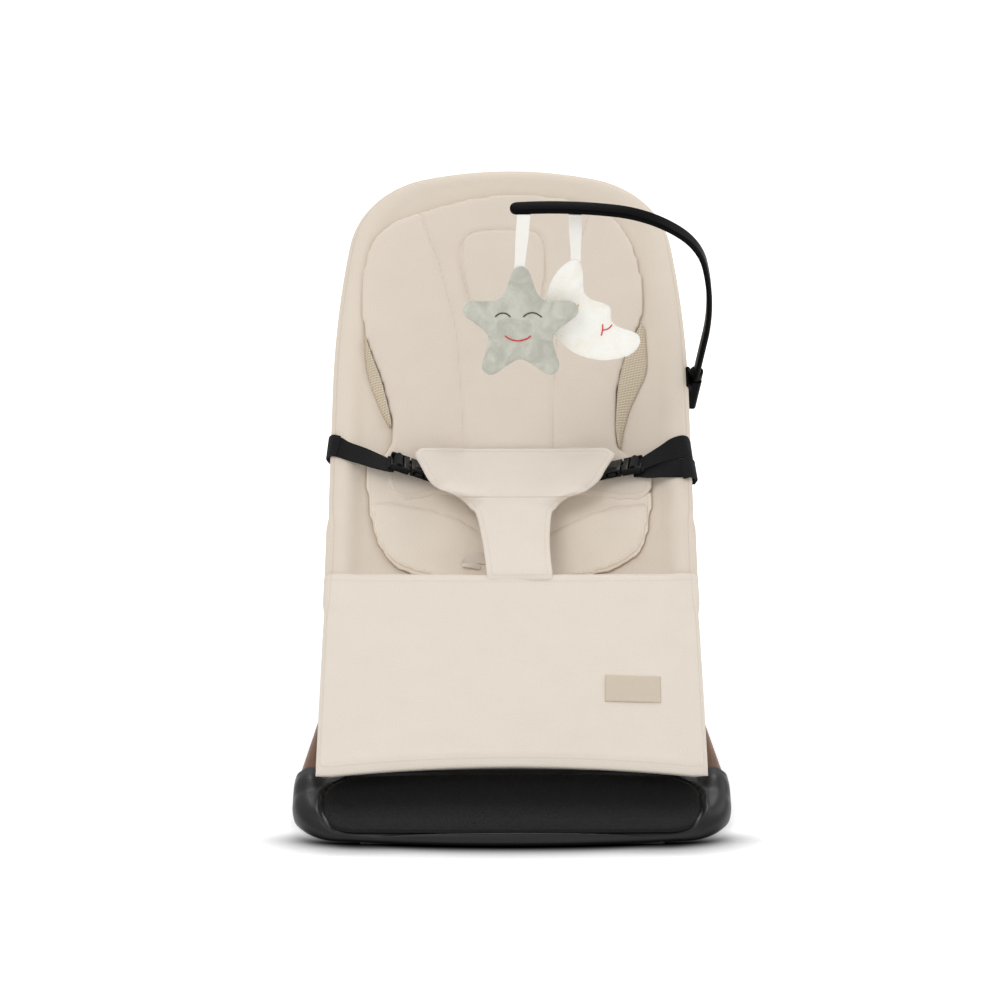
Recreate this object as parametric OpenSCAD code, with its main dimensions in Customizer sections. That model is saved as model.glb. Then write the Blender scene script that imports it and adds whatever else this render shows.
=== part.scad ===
// Infant bouncer seat: a covered two-hoop frame on sprung arms, with a harness and a hanging toy bar.
// Millimetres. X is across the seat, +Y runs towards the head end, +Z is up.
// Lengths along Y are counted from the front edge of the front foot, and rig() then centres the whole.

/* [Overall] */
// Depth of the base, from the front foot to the rear foot
base_depth = 650; // [640:1:660]
// Half the width of the front foot
foot_half = 219.5; // [217:0.5:220]

/* [Seat frame] */
// Half the distance between the side tubes' centrelines
tube_x = 187.5; // [187:0.1:188]
// Outer diameter of the hoop tube
tube_d = 16; // [15.8:0.1:16]
// Wall of the hoop tube
tube_wall = 1.2; // [1:0.1:2]
// Slope of the leg section, in degrees
leg_slope = 34; // [33:0.5:35]
// Slope of the back section, in degrees
back_slope = 46; // [45:0.5:47]
// Distance of the knee line from the front edge
knee_y = 285; // [283:1:287]
// Height of the knee line
knee_z = 193; // [191:1:195]

/* [Base] */
// Diameter of the floor rails
rail_d = 26; // [24:1:27]
// Height of the rails' centreline at both ends
rail_z = 24; // [23:0.5:25]
// Half the distance between the rails at the front
rail_x_front = 204; // [203:0.5:204]
// Half the distance between the rails at the rear
rail_x_rear = 176.5; // [174:0.5:177]

/* [Suspension] */
// Distance of the arms' pivot from the front edge
pivot_y = 118.5; // [118:0.5:119]
// Height of the arms' pivot
pivot_z = 24; // [23:0.5:25]
// Outer diameter of the arm tube
arm_d = 14; // [12:1:14]

/* [Toy bar] */
// Width of the bar's strip
bar_w = 16; // [14:1:16]
// Thickness of the bar's strip
bar_t = 6; // [5:0.5:6]

/* [Hidden] */
$fn = 64;

plastic_colour = [0.08, 0.08, 0.09];
steel_colour = [0.75, 0.76, 0.78];
frame_colour = [0.16, 0.16, 0.17];
wood_colour = [0.48, 0.34, 0.24];
cloth_colour = [0.87, 0.82, 0.75];
rubber_colour = [0.12, 0.12, 0.12];
webbing_colour = [0.14, 0.14, 0.14];

// Frames of reference
module rig() translate([0, -base_depth / 2, 0]) children();
module on_back() rig() translate([0, knee_y, knee_z]) rotate([back_slope, 0, 0]) children();
module on_leg() rig() translate([0, knee_y, knee_z]) rotate([leg_slope, 0, 0]) children();
module on_right(right) mirror([right ? 0 : 1, 0, 0]) children();
module along_x(x0, x1) translate([x0, 0, 0]) rotate([90, 0, 90]) linear_extrude(x1 - x0) children();

// Back hoop: a straight side, a side arc, a corner arc and half a crown arc, mirrored.
// Angles are the line's lean from the side's direction. A short straight links each pair of arcs.
link = 2;
tube_start = 18;
side_start = 220;
side_r = 1311;
side_lean = 8.16;
corner_r = 101;
corner_lean = 76.6;
crown_r = (tube_x - side_r * (1 - cos(side_lean)) - link * (sin(side_lean) + sin(corner_lean))
    - corner_r * (cos(side_lean) - cos(corner_lean))) / cos(corner_lean);
corner_centre = [tube_x - side_r * (1 - cos(side_lean)) - link * sin(side_lean), side_start + side_r * sin(side_lean)
    + link * cos(side_lean)] - corner_r * [cos(side_lean), sin(side_lean)];
crown_v = corner_centre[1] + corner_r * sin(corner_lean) + link * cos(corner_lean) - crown_r * sin(corner_lean);
function back_trail(start) = [[side_start - start, 0], [side_lean, side_r], [link, 0],
    [corner_lean - side_lean, corner_r], [link, 0], [180 - 2 * corner_lean, crown_r], [link, 0],
    [corner_lean - side_lean, corner_r], [link, 0], [side_lean, side_r], [side_start - start, 0]];

// Half the width inside the back hoop's centreline, less an inset, at a distance v above the knee line
function back_half(v, inset = 0) =
    v < side_start ? tube_x - inset
    : v < side_start + (side_r - inset) * sin(side_lean)
        ? tube_x - side_r + sqrt((side_r - inset) ^ 2 - (v - side_start) ^ 2)
    : v < corner_centre[1] + (corner_r - inset) * sin(corner_lean)
        ? corner_centre[0] + sqrt((corner_r - inset) ^ 2 - (v - corner_centre[1]) ^ 2)
    : sqrt(max(0, (crown_r - inset) ^ 2 - (v - crown_v) ^ 2));

// Leg hoop: sides that turn in a little below the hubs, tight corners and a front tube bowed up towards the knee
bow_lean = 6.8;
leg_corner_r = 24;
leg_corner_v = -217;
side_turn = 1.2;
side_turn_r = 300;
leg_straight = 36;
function leg_run(start) = (-leg_corner_v - start - leg_straight + (leg_corner_r - side_turn_r) * sin(side_turn))
    / cos(side_turn);
leg_corner_x = tube_x - side_turn_r * (1 - cos(side_turn)) - leg_run(tube_start) * sin(side_turn);
bow_r = (leg_corner_x - leg_corner_r * (cos(side_turn) + sin(bow_lean)) - link * cos(bow_lean)) / sin(bow_lean);
bow_v = leg_corner_v - (leg_corner_r + bow_r) * cos(bow_lean) + link * sin(bow_lean);
function leg_trail(start) = [[leg_straight, 0], [side_turn, side_turn_r], [leg_run(start), 0],
    [90 + bow_lean - side_turn, leg_corner_r], [link, 0], [2 * bow_lean, -bow_r], [link, 0],
    [90 + bow_lean - side_turn, leg_corner_r], [leg_run(start), 0], [side_turn, side_turn_r], [leg_straight, 0]];

// Recline hubs
hub_y = 300;
hub_z = 170;
hub_r = 20;
hub_in = 168;
hub_split = 184;
hub_gap = 0.4;
hub_out = 195.6;
journal_r = 16;
journal_end = 188.3;
gear_r = 10.6;
gear_teeth = 24;
tooth_h = 1.4;
gear_in = 183.5;
gear_out = 192.2;
button_r = 7;
socket_out = 9.75;
arm_x = 160;
arm_rise = atan2(hub_z - pivot_z, hub_y - pivot_y);
arm_len = norm([hub_z - pivot_z, hub_y - pivot_y]);
function hub_on_back() = let (dy = hub_y - knee_y, dz = hub_z - knee_z)
    [dy * cos(back_slope) + dz * sin(back_slope), -dy * sin(back_slope) + dz * cos(back_slope)];
function hub_on_leg() = let (dy = hub_y - knee_y, dz = hub_z - knee_z)
    [dy * cos(leg_slope) + dz * sin(leg_slope), -dy * sin(leg_slope) + dz * cos(leg_slope)];

// Toy bar: its plane leans forward from the clip. From its free end it is a crown arc, two bends and a straight.
clip_v = 234;
clip_bore_r = 9.45;
bar_lean = 123.2;
bar_top_p = 259;
bar_top_x = 41;
bar_crown_r = 450;
bar_crown_out = 8;
bar_crown_in = 5.4;
bar_trail = [[bar_crown_in + bar_crown_out, bar_crown_r], [link, 0], [30, 140], [link, 0], [39, 86], [link, 0],
    [19, 320], [60, 0]];
function trail_end(trail, at, heading, n) = n == 0 ? [at[0], at[1], heading]
    : let (s = trail[len(trail) - n], h2 = heading + (s[1] == 0 ? 0 : s[0]),
           p2 = s[1] == 0 ? at + s[0] * [sin(heading), cos(heading)]
               : at + s[1] * [cos(heading) - cos(h2), sin(h2) - sin(heading)])
      trail_end(trail, p2, h2, n - 1);
bar_start = [bar_top_x - bar_crown_r * sin(bar_crown_in), bar_top_p - bar_crown_r * (1 - cos(bar_crown_in))];
bar_end = trail_end(bar_trail, bar_start, 90 - bar_crown_in, len(bar_trail));
spigot_r = 4.5;
bar_points = concat([[bar_start[0], bar_start[1], 90 - bar_crown_in]],
    trail_points(bar_trail, bar_start, 90 - bar_crown_in, 3));
module on_bar() on_back() translate([0, clip_v, 0]) rotate([bar_lean - back_slope, 0, 0]) children();
function bar_p(x) = bar_top_p - bar_crown_r + sqrt(bar_crown_r ^ 2 - (x - bar_top_x) ^ 2);
clip_y = knee_y + clip_v * cos(back_slope);
clip_z = knee_z + clip_v * sin(back_slope);
function bar_yz(x) = [clip_y + bar_p(x) * cos(bar_lean), clip_z + bar_p(x) * sin(bar_lean)];

// Toys
ribbon_w = 13;
ribbon_t = 1.2;
toy_t = 16;
star_x = 13;
moon_x = 66;
star_axis = bar_yz(star_x) + [-8.4, -6];
moon_axis = bar_yz(moon_x) + [9.6, -1.8];

// Cloth: depth of the sling below the hoop plane along its middle
cloth_t = 3;
sling_points = [[-20, 14], [0, 44], [40, 60], [90, 62], [150, 52], [250, 36], [350, 24], [430, 14], [500, 4]];
sling_rows = [-18, -4, 14, 34, 56, 80, 110, 150, 200, 250, 300, 350, 395, 425, 445, 460, 472, 480, 486];
function sling_half(v) = v < 55 ? 160 : back_half(v, 10.5);
function sling_top(x, v) = 3 - lookup(v, sling_points) * (1 - (min(1, abs(x) / 177.5)) ^ 2.6);
insert_points = [[98, 118], [125, 135], [163, 131], [212, 133], [270, 152], [300, 163], [343, 167], [380, 163],
    [417, 150], [440, 128], [454, 102], [468, 60], [476, 28]];
seat_pad_points = [[4, 62], [12, 112], [33, 138], [61, 149], [78, 153], [94, 148]];
insert_lift = 15;

// Harness
strap_origin = [-180, 143, 11];
strap_turn = -10.7;
strap_dip = 20;
strap_w = 25;
strap_t = 1.5;
buckle_z = 1.2;
buckle_t = 8;
prong_slope = 0.12;

// ---------- shared shapes ----------

module rounded_square(w, h, r) {
    square([w - 2 * r, h], center = true);
    square([w, h - 2 * r], center = true);
    for (sx = [-1, 1], sy = [-1, 1]) translate([sx * (w / 2 - r), sy * (h / 2 - r)]) circle(r);
}

// A trail is a list of [length, 0] straights and [turn, radius] arcs in the XY plane. A positive radius bends
// towards +X and a negative one towards -X.

// Points [x, y, heading] along a trail, a step of so many degrees apart on its arcs
function trail_points(trail, at, heading, step = 9, i = 0) = i == len(trail) ? []
    : let (s = trail[i], n = s[1] == 0 ? 1 : max(2, ceil(s[0] / step), ceil(s[0] * abs(s[1]) / 2300)),
           turn = sign(s[1]) * s[0], r = s[1],
           pts = [for (k = [1:n]) let (h = heading + turn * k / n) s[1] == 0
               ? [at[0] + s[0] * sin(heading), at[1] + s[0] * cos(heading), heading]
               : [at[0] + r * (cos(heading) - cos(h)), at[1] + r * (sin(h) - sin(heading)), h]],
           last = pts[n - 1])
      concat(pts, trail_points(trail, [last[0], last[1]], heading + (s[1] == 0 ? 0 : turn), step, i + 1));

// A hollow round tube along points [x, y, heading]
module tube(points, outer, inner, sides = 12) {
    n = len(points);
    ring = function(p, r) [for (k = [0:sides - 1]) let (a = 360 * k / sides)
        [p[0] + r * cos(a) * cos(p[2]), p[1] - r * cos(a) * sin(p[2]), r * sin(a)]];
    outside = [for (p = points) each ring(p, outer)];
    inside = [for (p = points) each ring(p, inner)];
    base = n * sides;
    quad = function(a, b, c, d) [[a, b, c], [a, c, d]];
    faces = [
        for (i = [0:n - 2], k = [0:sides - 1]) let (a = i * sides + k, b = i * sides + (k + 1) % sides) each concat(
            quad(a, a + sides, b + sides, b), quad(base + a, base + b, base + b + sides, base + a + sides)),
        for (k = [0:sides - 1]) let (b = (k + 1) % sides, e = (n - 1) * sides) each concat(
            quad(k, b, base + b, base + k), quad(e + k, base + e + k, base + e + b, e + b))
    ];
    polyhedron(concat(outside, inside), faces);
}

module back_tube(start) tube(concat([[-tube_x, start, 0]], trail_points(back_trail(start), [-tube_x, start], 0)),
    tube_d / 2, tube_d / 2 - tube_wall);
module leg_tube(start) tube(concat([[tube_x, -start, 180]], trail_points(leg_trail(start), [tube_x, -start], 180)),
    tube_d / 2, tube_d / 2 - tube_wall);

// A closed cloth solid between two height functions, over rows of v with a half-width at each
module draped(rows, half, low, high, cols = 10) {
    n = len(rows);
    m = cols + 1;
    at = function(i, j) half(rows[i]) * (2 * j / cols - 1);
    top = [for (i = [0:n - 1], j = [0:cols]) let (x = at(i, j)) [x, rows[i], high(x, rows[i])]];
    bottom = [for (i = [0:n - 1], j = [0:cols]) let (x = at(i, j)) [x, rows[i], low(x, rows[i])]];
    base = n * m;
    faces = [
        for (i = [0:n - 2], j = [0:cols - 1]) let (a = i * m + j) each [
            [a, a + m, a + 1], [a + 1, a + m, a + m + 1],
            [base + a, base + a + 1, base + a + m], [base + a + 1, base + a + m + 1, base + a + m]],
        for (j = [0:cols - 1]) each [[j, j + 1, base + j], [j + 1, base + j + 1, base + j]],
        for (j = [0:cols - 1]) let (a = (n - 1) * m + j) each [[a, base + a, a + 1], [a + 1, base + a, base + a + 1]],
        for (i = [0:n - 2]) let (a = i * m) each [[a, base + a, a + m], [a + m, base + a, base + a + m]],
        for (i = [0:n - 2]) let (a = i * m + cols) each [[a, a + m, base + a], [a + m, base + a + m, base + a]]
    ];
    polyhedron(concat(top, bottom), faces);
}

// A screw along +Z whose head's underside is at the origin
module screw(length, d, head_d, head_h) {
    cylinder(h = length, d = d);
    difference() {
        translate([0, 0, -head_h]) cylinder(h = head_h, d = head_d);
        translate([0, 0, -head_h - 1]) cylinder(h = 2.2, d = head_d * 0.45, $fn = 6);
    }
}

// ---------- base ----------

foot_wall = 3;
rail_socket_r = 14.6;
foot_depth = 106;
elbow_r = 55;
elbow_lap = 4;
foot_bow_r = 1366;
elbow_x = foot_half - elbow_r;
elbow_y = foot_bow_r - sqrt(foot_bow_r ^ 2 - elbow_x ^ 2) + elbow_r;
foot_slope = atan2(28, 89);
pad_w = 376;
pad_l = 84;
pad_r = 34;
pad_t = 2.4;
rail_lean = atan2(rail_x_front - rail_x_rear, base_depth - 130);
rear_depth = 58;
rear_y = base_depth - rear_depth;
rear_half = 192;
screw_sink = 7.6;
front_screw_x = rail_x_front - 0.6;

module foot_plan(inset) {
    intersection() {
        translate([0, foot_bow_r]) circle(foot_bow_r - inset, $fn = 360);
        translate([-elbow_x - elbow_lap, 0]) square([2 * (elbow_x + elbow_lap), foot_depth - inset]);
    }
    for (s = [-1, 1]) {
        translate([s * elbow_x, elbow_y]) circle(elbow_r - inset);
        translate([s * (foot_half - inset - 20) - 20, elbow_y]) square([40, foot_depth - inset - elbow_y]);
        translate([s * elbow_x - 40, elbow_y]) square([80, foot_depth - inset - elbow_y]);
    }
}

module foot_side(inset) polygon([
    [inset, 3 - inset], [inset, 11 - inset * 0.6], [6 + inset, 14 - inset],
    [95, 42 - inset * 1.05], [foot_depth - inset, 42 - inset * 1.05], [foot_depth - inset, 3 - inset]]);

module along_rail(x) translate([x, 100, rail_z]) rotate([0, 0, (x > 0 ? 1 : -1) * rail_lean])
    rotate([-90, 0, 0]) children();

module ear(x0, x1) along_x(x0, x1) {
    translate([pivot_y, pivot_z]) circle(13);
    translate([foot_depth - 3, pivot_z - 13]) square([pivot_y - foot_depth + 3, 26]);
}

module front_foot() color(plastic_colour) rig() difference() {
    union() {
        intersection() {
            linear_extrude(50) foot_plan(0);
            along_x(-foot_half, foot_half) foot_side(0);
        }
        for (s = [-1, 1]) {
            along_rail(s * rail_x_front) translate([0, 0, -14]) cylinder(h = 26, r = rail_socket_r);
            ear(s * 158 - 13.5, s * 158 - 8.5);
            ear(s * 158 + 8.5, s * 158 + 13.5);
        }
    }
    intersection() {
        translate([0, 0, -1]) linear_extrude(60) foot_plan(foot_wall);
        along_x(-178, 178) foot_side(foot_wall + 0.001);
    }
    for (s = [-1, 1]) {
        along_rail(s * rail_x_front) translate([0, 0, -10]) cylinder(h = 40, d = rail_d + 0.1);
        translate([s * 158 - 20, pivot_y, pivot_z]) rotate([0, 90, 0]) cylinder(h = 40, d = 8.05);
        translate([s * front_screw_x, 97, 3]) cylinder(h = 12, d = 4.2);
        translate([s * front_screw_x, 97, 2]) cylinder(h = 3.8, d = screw_sink);
    }
    translate([0, 50, 27.9]) rotate([foot_slope, 0, 0]) translate([0, 0, -pad_t]) linear_extrude(20)
        rounded_square(pad_w, pad_l, pad_r);
}

module front_foot_pad() color([0.17, 0.17, 0.18]) rig() translate([0, 50, 27.9]) rotate([foot_slope, 0, 0])
    translate([0, 0, -pad_t]) linear_extrude(pad_t - 0.4) rounded_square(pad_w - 3, pad_l - 3, pad_r - 1.5);

module cover_screw_places() for (x = [-150, -50, 50, 150], y = [24, 92]) translate([x, y, 0]) children();

module front_foot_cover() color(plastic_colour) rig() difference() {
    translate([0, 0, 3]) linear_extrude(2.4) intersection() {
        foot_plan(foot_wall + 0.4);
        translate([-177, 0]) square([354, foot_depth - foot_wall - 0.4]);
    }
    cover_screw_places() translate([0, 0, 2]) cylinder(h = 8, d = 3.6);
}

module cover_screws() color(steel_colour) rig() cover_screw_places() translate([0, 0, 3]) screw(10, 3.4, 6.4, 2);

module front_grips() color(rubber_colour) rig() for (s = [-1, 1]) {
    translate([s * 120, 12, 0]) linear_extrude(3) rounded_square(60, 7, 3);
    translate([s * front_screw_x, 68, 0]) linear_extrude(3) rounded_square(22, 40, 8);
}

module rail() along_rail(rail_x_front) translate([0, 0, -9.5]) cylinder(h = (rear_y - 60) / cos(rail_lean) - 0.8, d = rail_d);
module rail_bores() {
    translate([front_screw_x, 97, 3]) cylinder(h = 14, d = 4);
    translate([rail_x_rear + 2.2, rear_y + 14, 3]) cylinder(h = 14, d = 4);
}
module side_rail(right) color(wood_colour) rig() on_right(right) difference() {
    rail();
    rail_bores();
}

module rear_foot() color(plastic_colour) rig() difference() {
    intersection() {
        translate([0, rear_y + rear_depth / 2, 0]) linear_extrude(50) rounded_square(2 * rear_half, rear_depth, 24);
        along_x(-rear_half, rear_half) polygon([[rear_y, 3], [rear_y, 34], [rear_y + 8, 41], [rear_y + 36, 41],
            [base_depth, 16], [base_depth, 3]]);
    }
    for (s = [-1, 1]) {
        along_rail(s * rail_x_front) translate([0, 0, 300]) cylinder(h = rear_y - 369, d = rail_d + 0.1);
        translate([s * (rail_x_rear + 2.2), rear_y + 14, -1]) cylinder(h = 20, d = 4.2);
        translate([s * (rail_x_rear + 2.2), rear_y + 14, -1]) cylinder(h = 6.8, d = screw_sink);
    }
    translate([-140, rear_y + 5, 2]) cube([280, rear_depth - 15, 12]);
}

module rear_grips() color(rubber_colour) rig() for (s = [-1, 1])
    translate([s * 166, rear_y + 38, 0]) linear_extrude(3) rounded_square(36, 24, 8);

module rail_screws() color(steel_colour) rig() for (s = [-1, 1]) {
    translate([s * front_screw_x, 97, 5.6]) screw(9, 3.9, 7, 2.4);
    translate([s * (rail_x_rear + 2.2), rear_y + 14, 5.6]) screw(9, 3.9, 7, 2.4);
}

module pivot_pin(right) color(steel_colour) rig() on_right(right) translate([0, pivot_y, pivot_z]) rotate([0, 90, 0]) {
    translate([0, 0, 144]) cylinder(h = 28.2, d = 8);
    translate([0, 0, 171.7]) cylinder(h = 2, d = 12);
}

module torsion_spring(right) color(steel_colour) rig() on_right(right) translate([0, pivot_y, pivot_z]) {
    for (i = [0:2]) translate([151.4 + i * 2.1, 0, 0]) rotate([0, 90, 0]) rotate_extrude() translate([7.6, 0]) circle(1);
}

// ---------- suspension and leg section ----------

module spring_frame() color(frame_colour) rig() {
    for (s = [0, 1]) mirror([s, 0, 0]) difference() {
        union() {
            translate([arm_x, pivot_y, pivot_z]) rotate([arm_rise - 90, 0, 0]) cylinder(h = arm_len, d = arm_d);
            translate([arm_x - 1.8, pivot_y, pivot_z]) rotate([0, 90, 0]) cylinder(h = 8, r = 11.5);
            translate([hub_in - 6, hub_y, hub_z]) rotate([0, 90, 0]) cylinder(h = 6, r = hub_r - 0.5);
        }
        translate([arm_x - 12, pivot_y, pivot_z]) rotate([0, 90, 0]) cylinder(h = 24, d = 8.1);
        translate([hub_in, hub_y, hub_z]) rotate([0, 90, 0]) cylinder(h = 20, r = hub_r + 5);
        translate([arm_x - 12, pivot_y, pivot_z]) rotate([0, 90, 0]) cylinder(h = 10.2, r = 14);
        translate([arm_x + 6.2, pivot_y, pivot_z]) rotate([0, 90, 0]) cylinder(h = 8, r = 14);
        hub_screw_places() translate([0, 0, -20]) cylinder(h = 40, d = 4.2);
    }
    translate([0, pivot_y + arm_len * 0.5 * cos(arm_rise), pivot_z + arm_len * 0.5 * sin(arm_rise)])
        rotate([0, 90, 0]) cylinder(h = 2 * arm_x, d = 12, center = true);
}

module hub_screw_places() translate([hub_in, hub_y, hub_z]) for (a = [60, 180, 300])
    rotate([arm_rise + 180 + a, 0, 0]) translate([0, 16, 0]) rotate([0, 90, 0]) children();

module hub_screws() color(steel_colour) rig() for (s = [0, 1]) mirror([s, 0, 0])
    hub_screw_places() translate([0, 0, -6]) screw(14, 3.9, 7, 2.4);

module leg_hoop() color(frame_colour) on_leg() leg_tube(tube_start);

// Toothed disc that locks the two hub halves together
module gear_profile(grow) {
    r = gear_r + grow;
    tip = gear_r + tooth_h + grow;
    half = 360 / gear_teeth * 0.22 + grow * 2;
    polygon([for (i = [0:gear_teeth - 1]) let (a = i * 360 / gear_teeth) each [
        r * [cos(a - half * 1.5), sin(a - half * 1.5)], tip * [cos(a - half), sin(a - half)],
        tip * [cos(a + half), sin(a + half)], r * [cos(a + half * 1.5), sin(a + half * 1.5)]]]);
}

module at_hub(x0, x1) translate([0, hub_y, hub_z]) along_x(x0, x1) children();

module leg_hub(right) color(plastic_colour) on_right(right) difference() {
    union() {
        rig() at_hub(hub_in, hub_split) circle(hub_r);
        rig() at_hub(hub_split, journal_end) circle(journal_r);
        on_leg() {
            translate([tube_x, -52, 0]) rotate([-90, 0, 0]) cylinder(h = 38, r = socket_out);
            along_x(173, hub_split) polygon([hub_on_leg(), hub_on_leg() + [-7.6, 18.4], [-16, -3], [-50, -3],
                hub_on_leg() + [-19, -5]]);
        }
    }
    on_leg() translate([tube_x, -60, 0]) rotate([-90, 0, 0]) cylinder(h = 60 - tube_start, d = tube_d + 0.1);
    rig() at_hub(171, 200) gear_profile(0.15);
    rig() hub_screw_places() cylinder(h = 10, d = 4);
}

leg_plate_half = 175.5;
leg_plate_r = 15;
module leg_cover() color(cloth_colour) on_leg() translate([0, 0, 5.5]) linear_extrude(2.5) difference() {
    union() {
        translate([-leg_plate_half, leg_corner_v]) square([2 * leg_plate_half, -13.5 - leg_corner_v]);
        translate([leg_plate_r - leg_plate_half, -250]) square([2 * (leg_plate_half - leg_plate_r), 40]);
        for (s = [-1, 1]) translate([s * (leg_plate_half - leg_plate_r), leg_corner_v]) circle(leg_plate_r);
    }
    translate([0, bow_v]) circle(bow_r + 8, $fn = 360);
}

module leg_cover_tab() color([0.84, 0.79, 0.72]) on_leg() translate([124, -160, 8]) linear_extrude(0.8)
    rounded_square(58, 34, 2);

// ---------- back section ----------

module back_hoop() color(frame_colour) on_back() back_tube(tube_start);

module back_hub(right) color(plastic_colour) on_right(right) difference() {
    union() {
        rig() at_hub(hub_split + hub_gap, hub_out) circle(hub_r);
        on_back() {
            translate([tube_x, 14, 0]) rotate([-90, 0, 0]) cylinder(h = 38, r = socket_out);
            along_x(hub_split + hub_gap, hub_out) polygon([hub_on_back(), hub_on_back() + [8, 18.2], [15, -3],
                [50, -3], hub_on_back() + [19.2, -3]]);
        }
    }
    on_back() translate([tube_x, tube_start, 0]) rotate([-90, 0, 0]) cylinder(h = 60, d = tube_d + 0.1);
    rig() at_hub(180, journal_end + 0.3) circle(journal_r + 0.05);
    rig() at_hub(180, gear_out + 0.4) circle(gear_r + tooth_h + 0.4);
    rig() at_hub(180, 200) circle(button_r + 0.15);
}

module lock_button(right) color([0.2, 0.2, 0.21]) rig() on_right(right) {
    at_hub(gear_in, gear_out) gear_profile(0);
    at_hub(gear_out, hub_out + 0.4) circle(button_r);
}

module button_spring(right) color(steel_colour) rig() on_right(right) translate([0, hub_y, hub_z])
    for (i = [0:4]) translate([172.2 + i * 2.5, 0, 0]) rotate([0, 90, 0]) rotate_extrude() translate([6, 0]) circle(0.6);

module back_cover() color(cloth_colour) on_back() {
    draped(sling_rows, function(v) sling_half(v), function(x, v) sling_top(x, v) - cloth_t,
        function(x, v) sling_top(x, v), 12);
}

module infant_insert() color([0.85, 0.8, 0.73]) on_back() draped([for (p = insert_points) p[0]],
    function(v) lookup(v, insert_points), function(x, v) sling_top(x, v) + 1.5,
    function(x, v) sling_top(x, v) + insert_lift - 8 * (abs(x) / lookup(v, insert_points)) ^ 4, 10);

module head_pad() color([0.86, 0.81, 0.74]) on_back() translate([-6, 0, 0]) draped([335, 350, 380, 410, 425, 436],
    function(v) lookup(v, [[335, 34], [350, 44], [410, 48], [425, 42], [436, 30]]),
    function(x, v) sling_top(x - 6, v) + insert_lift + 1.5,
    function(x, v) sling_top(x - 6, v) + insert_lift + 7 - 4 * (abs(x) / 48) ^ 4, 6);

module seat_pad() color([0.85, 0.8, 0.73]) on_back() draped([for (p = seat_pad_points) p[0]],
    function(v) lookup(v, seat_pad_points), function(x, v) sling_top(x, v) + 4,
    function(x, v) sling_top(x, v) + insert_lift + 1 - 8 * (abs(x) / lookup(v, seat_pad_points)) ^ 4, 10);

// ---------- harness ----------

waist_points = [[-10, 36], [20, 33], [60, 31], [84, 34], [96, 46], [104, 64], [122, 76], [152, 86]];
function waist_top(x, v) = let (rest = sling_top(x, max(v, 104)) + insert_lift + 6)
    v >= 104 ? rest : rest + (13 - rest) * ((104 - v) / 114) ^ 1.1;

module waist_panel() color([0.87, 0.83, 0.76]) on_back() draped([for (p = waist_points) p[0]],
    function(v) lookup(v, waist_points), function(x, v) waist_top(x, v) - 2.5,
    function(x, v) waist_top(x, v), 8);

module strap(right) color(webbing_colour) on_back() mirror([right ? 1 : 0, 0, 0]) {
    translate(strap_origin) rotate([0, 0, strap_turn]) rotate([0, strap_dip, 0])
        translate([3, -strap_w / 2, -strap_t]) cube([57, strap_w, strap_t]);
    translate([-tube_x, 143, 0]) rotate([90, 0, 0]) rotate([0, 0, 60]) translate([0, 0, -strap_w / 2])
        rotate_extrude(angle = 220) translate([9.5, 0]) square([strap_t, strap_w]);
}

module strap_frame(right) on_back() mirror([right ? 1 : 0, 0, 0]) translate(strap_origin)
    rotate([0, 0, strap_turn]) rotate([0, strap_dip, 0]) translate([0, 0, buckle_z]) children();

module strap_tail(right) color(webbing_colour) strap_frame(right) {
    translate([32, -strap_w / 2, 0]) cube([22, strap_w, strap_t]);
}

module buckle_plug(right) color(plastic_colour) strap_frame(right) {
    difference() {
        translate([64, 0, 0]) linear_extrude(buckle_t) rounded_square(19, 29, 3);
        translate([57, -12.8, -1]) cube([3.5, 25.6, 20]);
        translate([63, -12.8, -1]) cube([3.5, 25.6, 20]);
        translate([53, -12.8, -1]) cube([5, 25.6, 1 + strap_t + 0.3]);
    }
    translate([73, -3.2, 2.2]) cube([18, 6.4, 3.6]);
}

module prong(right, lower) color(plastic_colour) strap_frame(right) mirror([0, lower ? 1 : 0, 0])
    translate([0, 0, 2.2]) linear_extrude(3.6)
        polygon([[73.9, 5.8], [73.9, 8.2], [91, 8.2 + 17.1 * prong_slope], [91, 6.6]]);

module buckle_socket(right) color(plastic_colour) strap_frame(right) difference() {
    translate([88.5, 0, 0]) linear_extrude(buckle_t) rounded_square(26, 27, 3);
    translate([79, -11, 1.8]) cube([20, 22, 4.4]);
    translate([70, -9.1, 1.8]) cube([12, 18.2, 4.4]);
}

// ---------- toy bar and toys ----------

// The bar's foot: origin at the lower end of its strip, +Y down along the swivel axis
module bar_foot() translate([bar_end[0], bar_end[1], 0]) rotate([0, 0, -bar_end[2]]) children();

module toy_bar() color(plastic_colour) on_bar() {
    linear_extrude(bar_w, center = true) polygon(concat(
        [for (p = bar_points) [p[0] + bar_t / 2 * cos(p[2]), p[1] - bar_t / 2 * sin(p[2])]],
        [for (i = [len(bar_points) - 1:-1:0]) let (p = bar_points[i])
            [p[0] - bar_t / 2 * cos(p[2]), p[1] + bar_t / 2 * sin(p[2])]]));
    bar_foot() translate([0, -6, 0]) rotate([-90, 0, 0]) {
        cylinder(h = 12, r = 7.4);
        cylinder(h = 40, r = spigot_r);
    }
}

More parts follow.
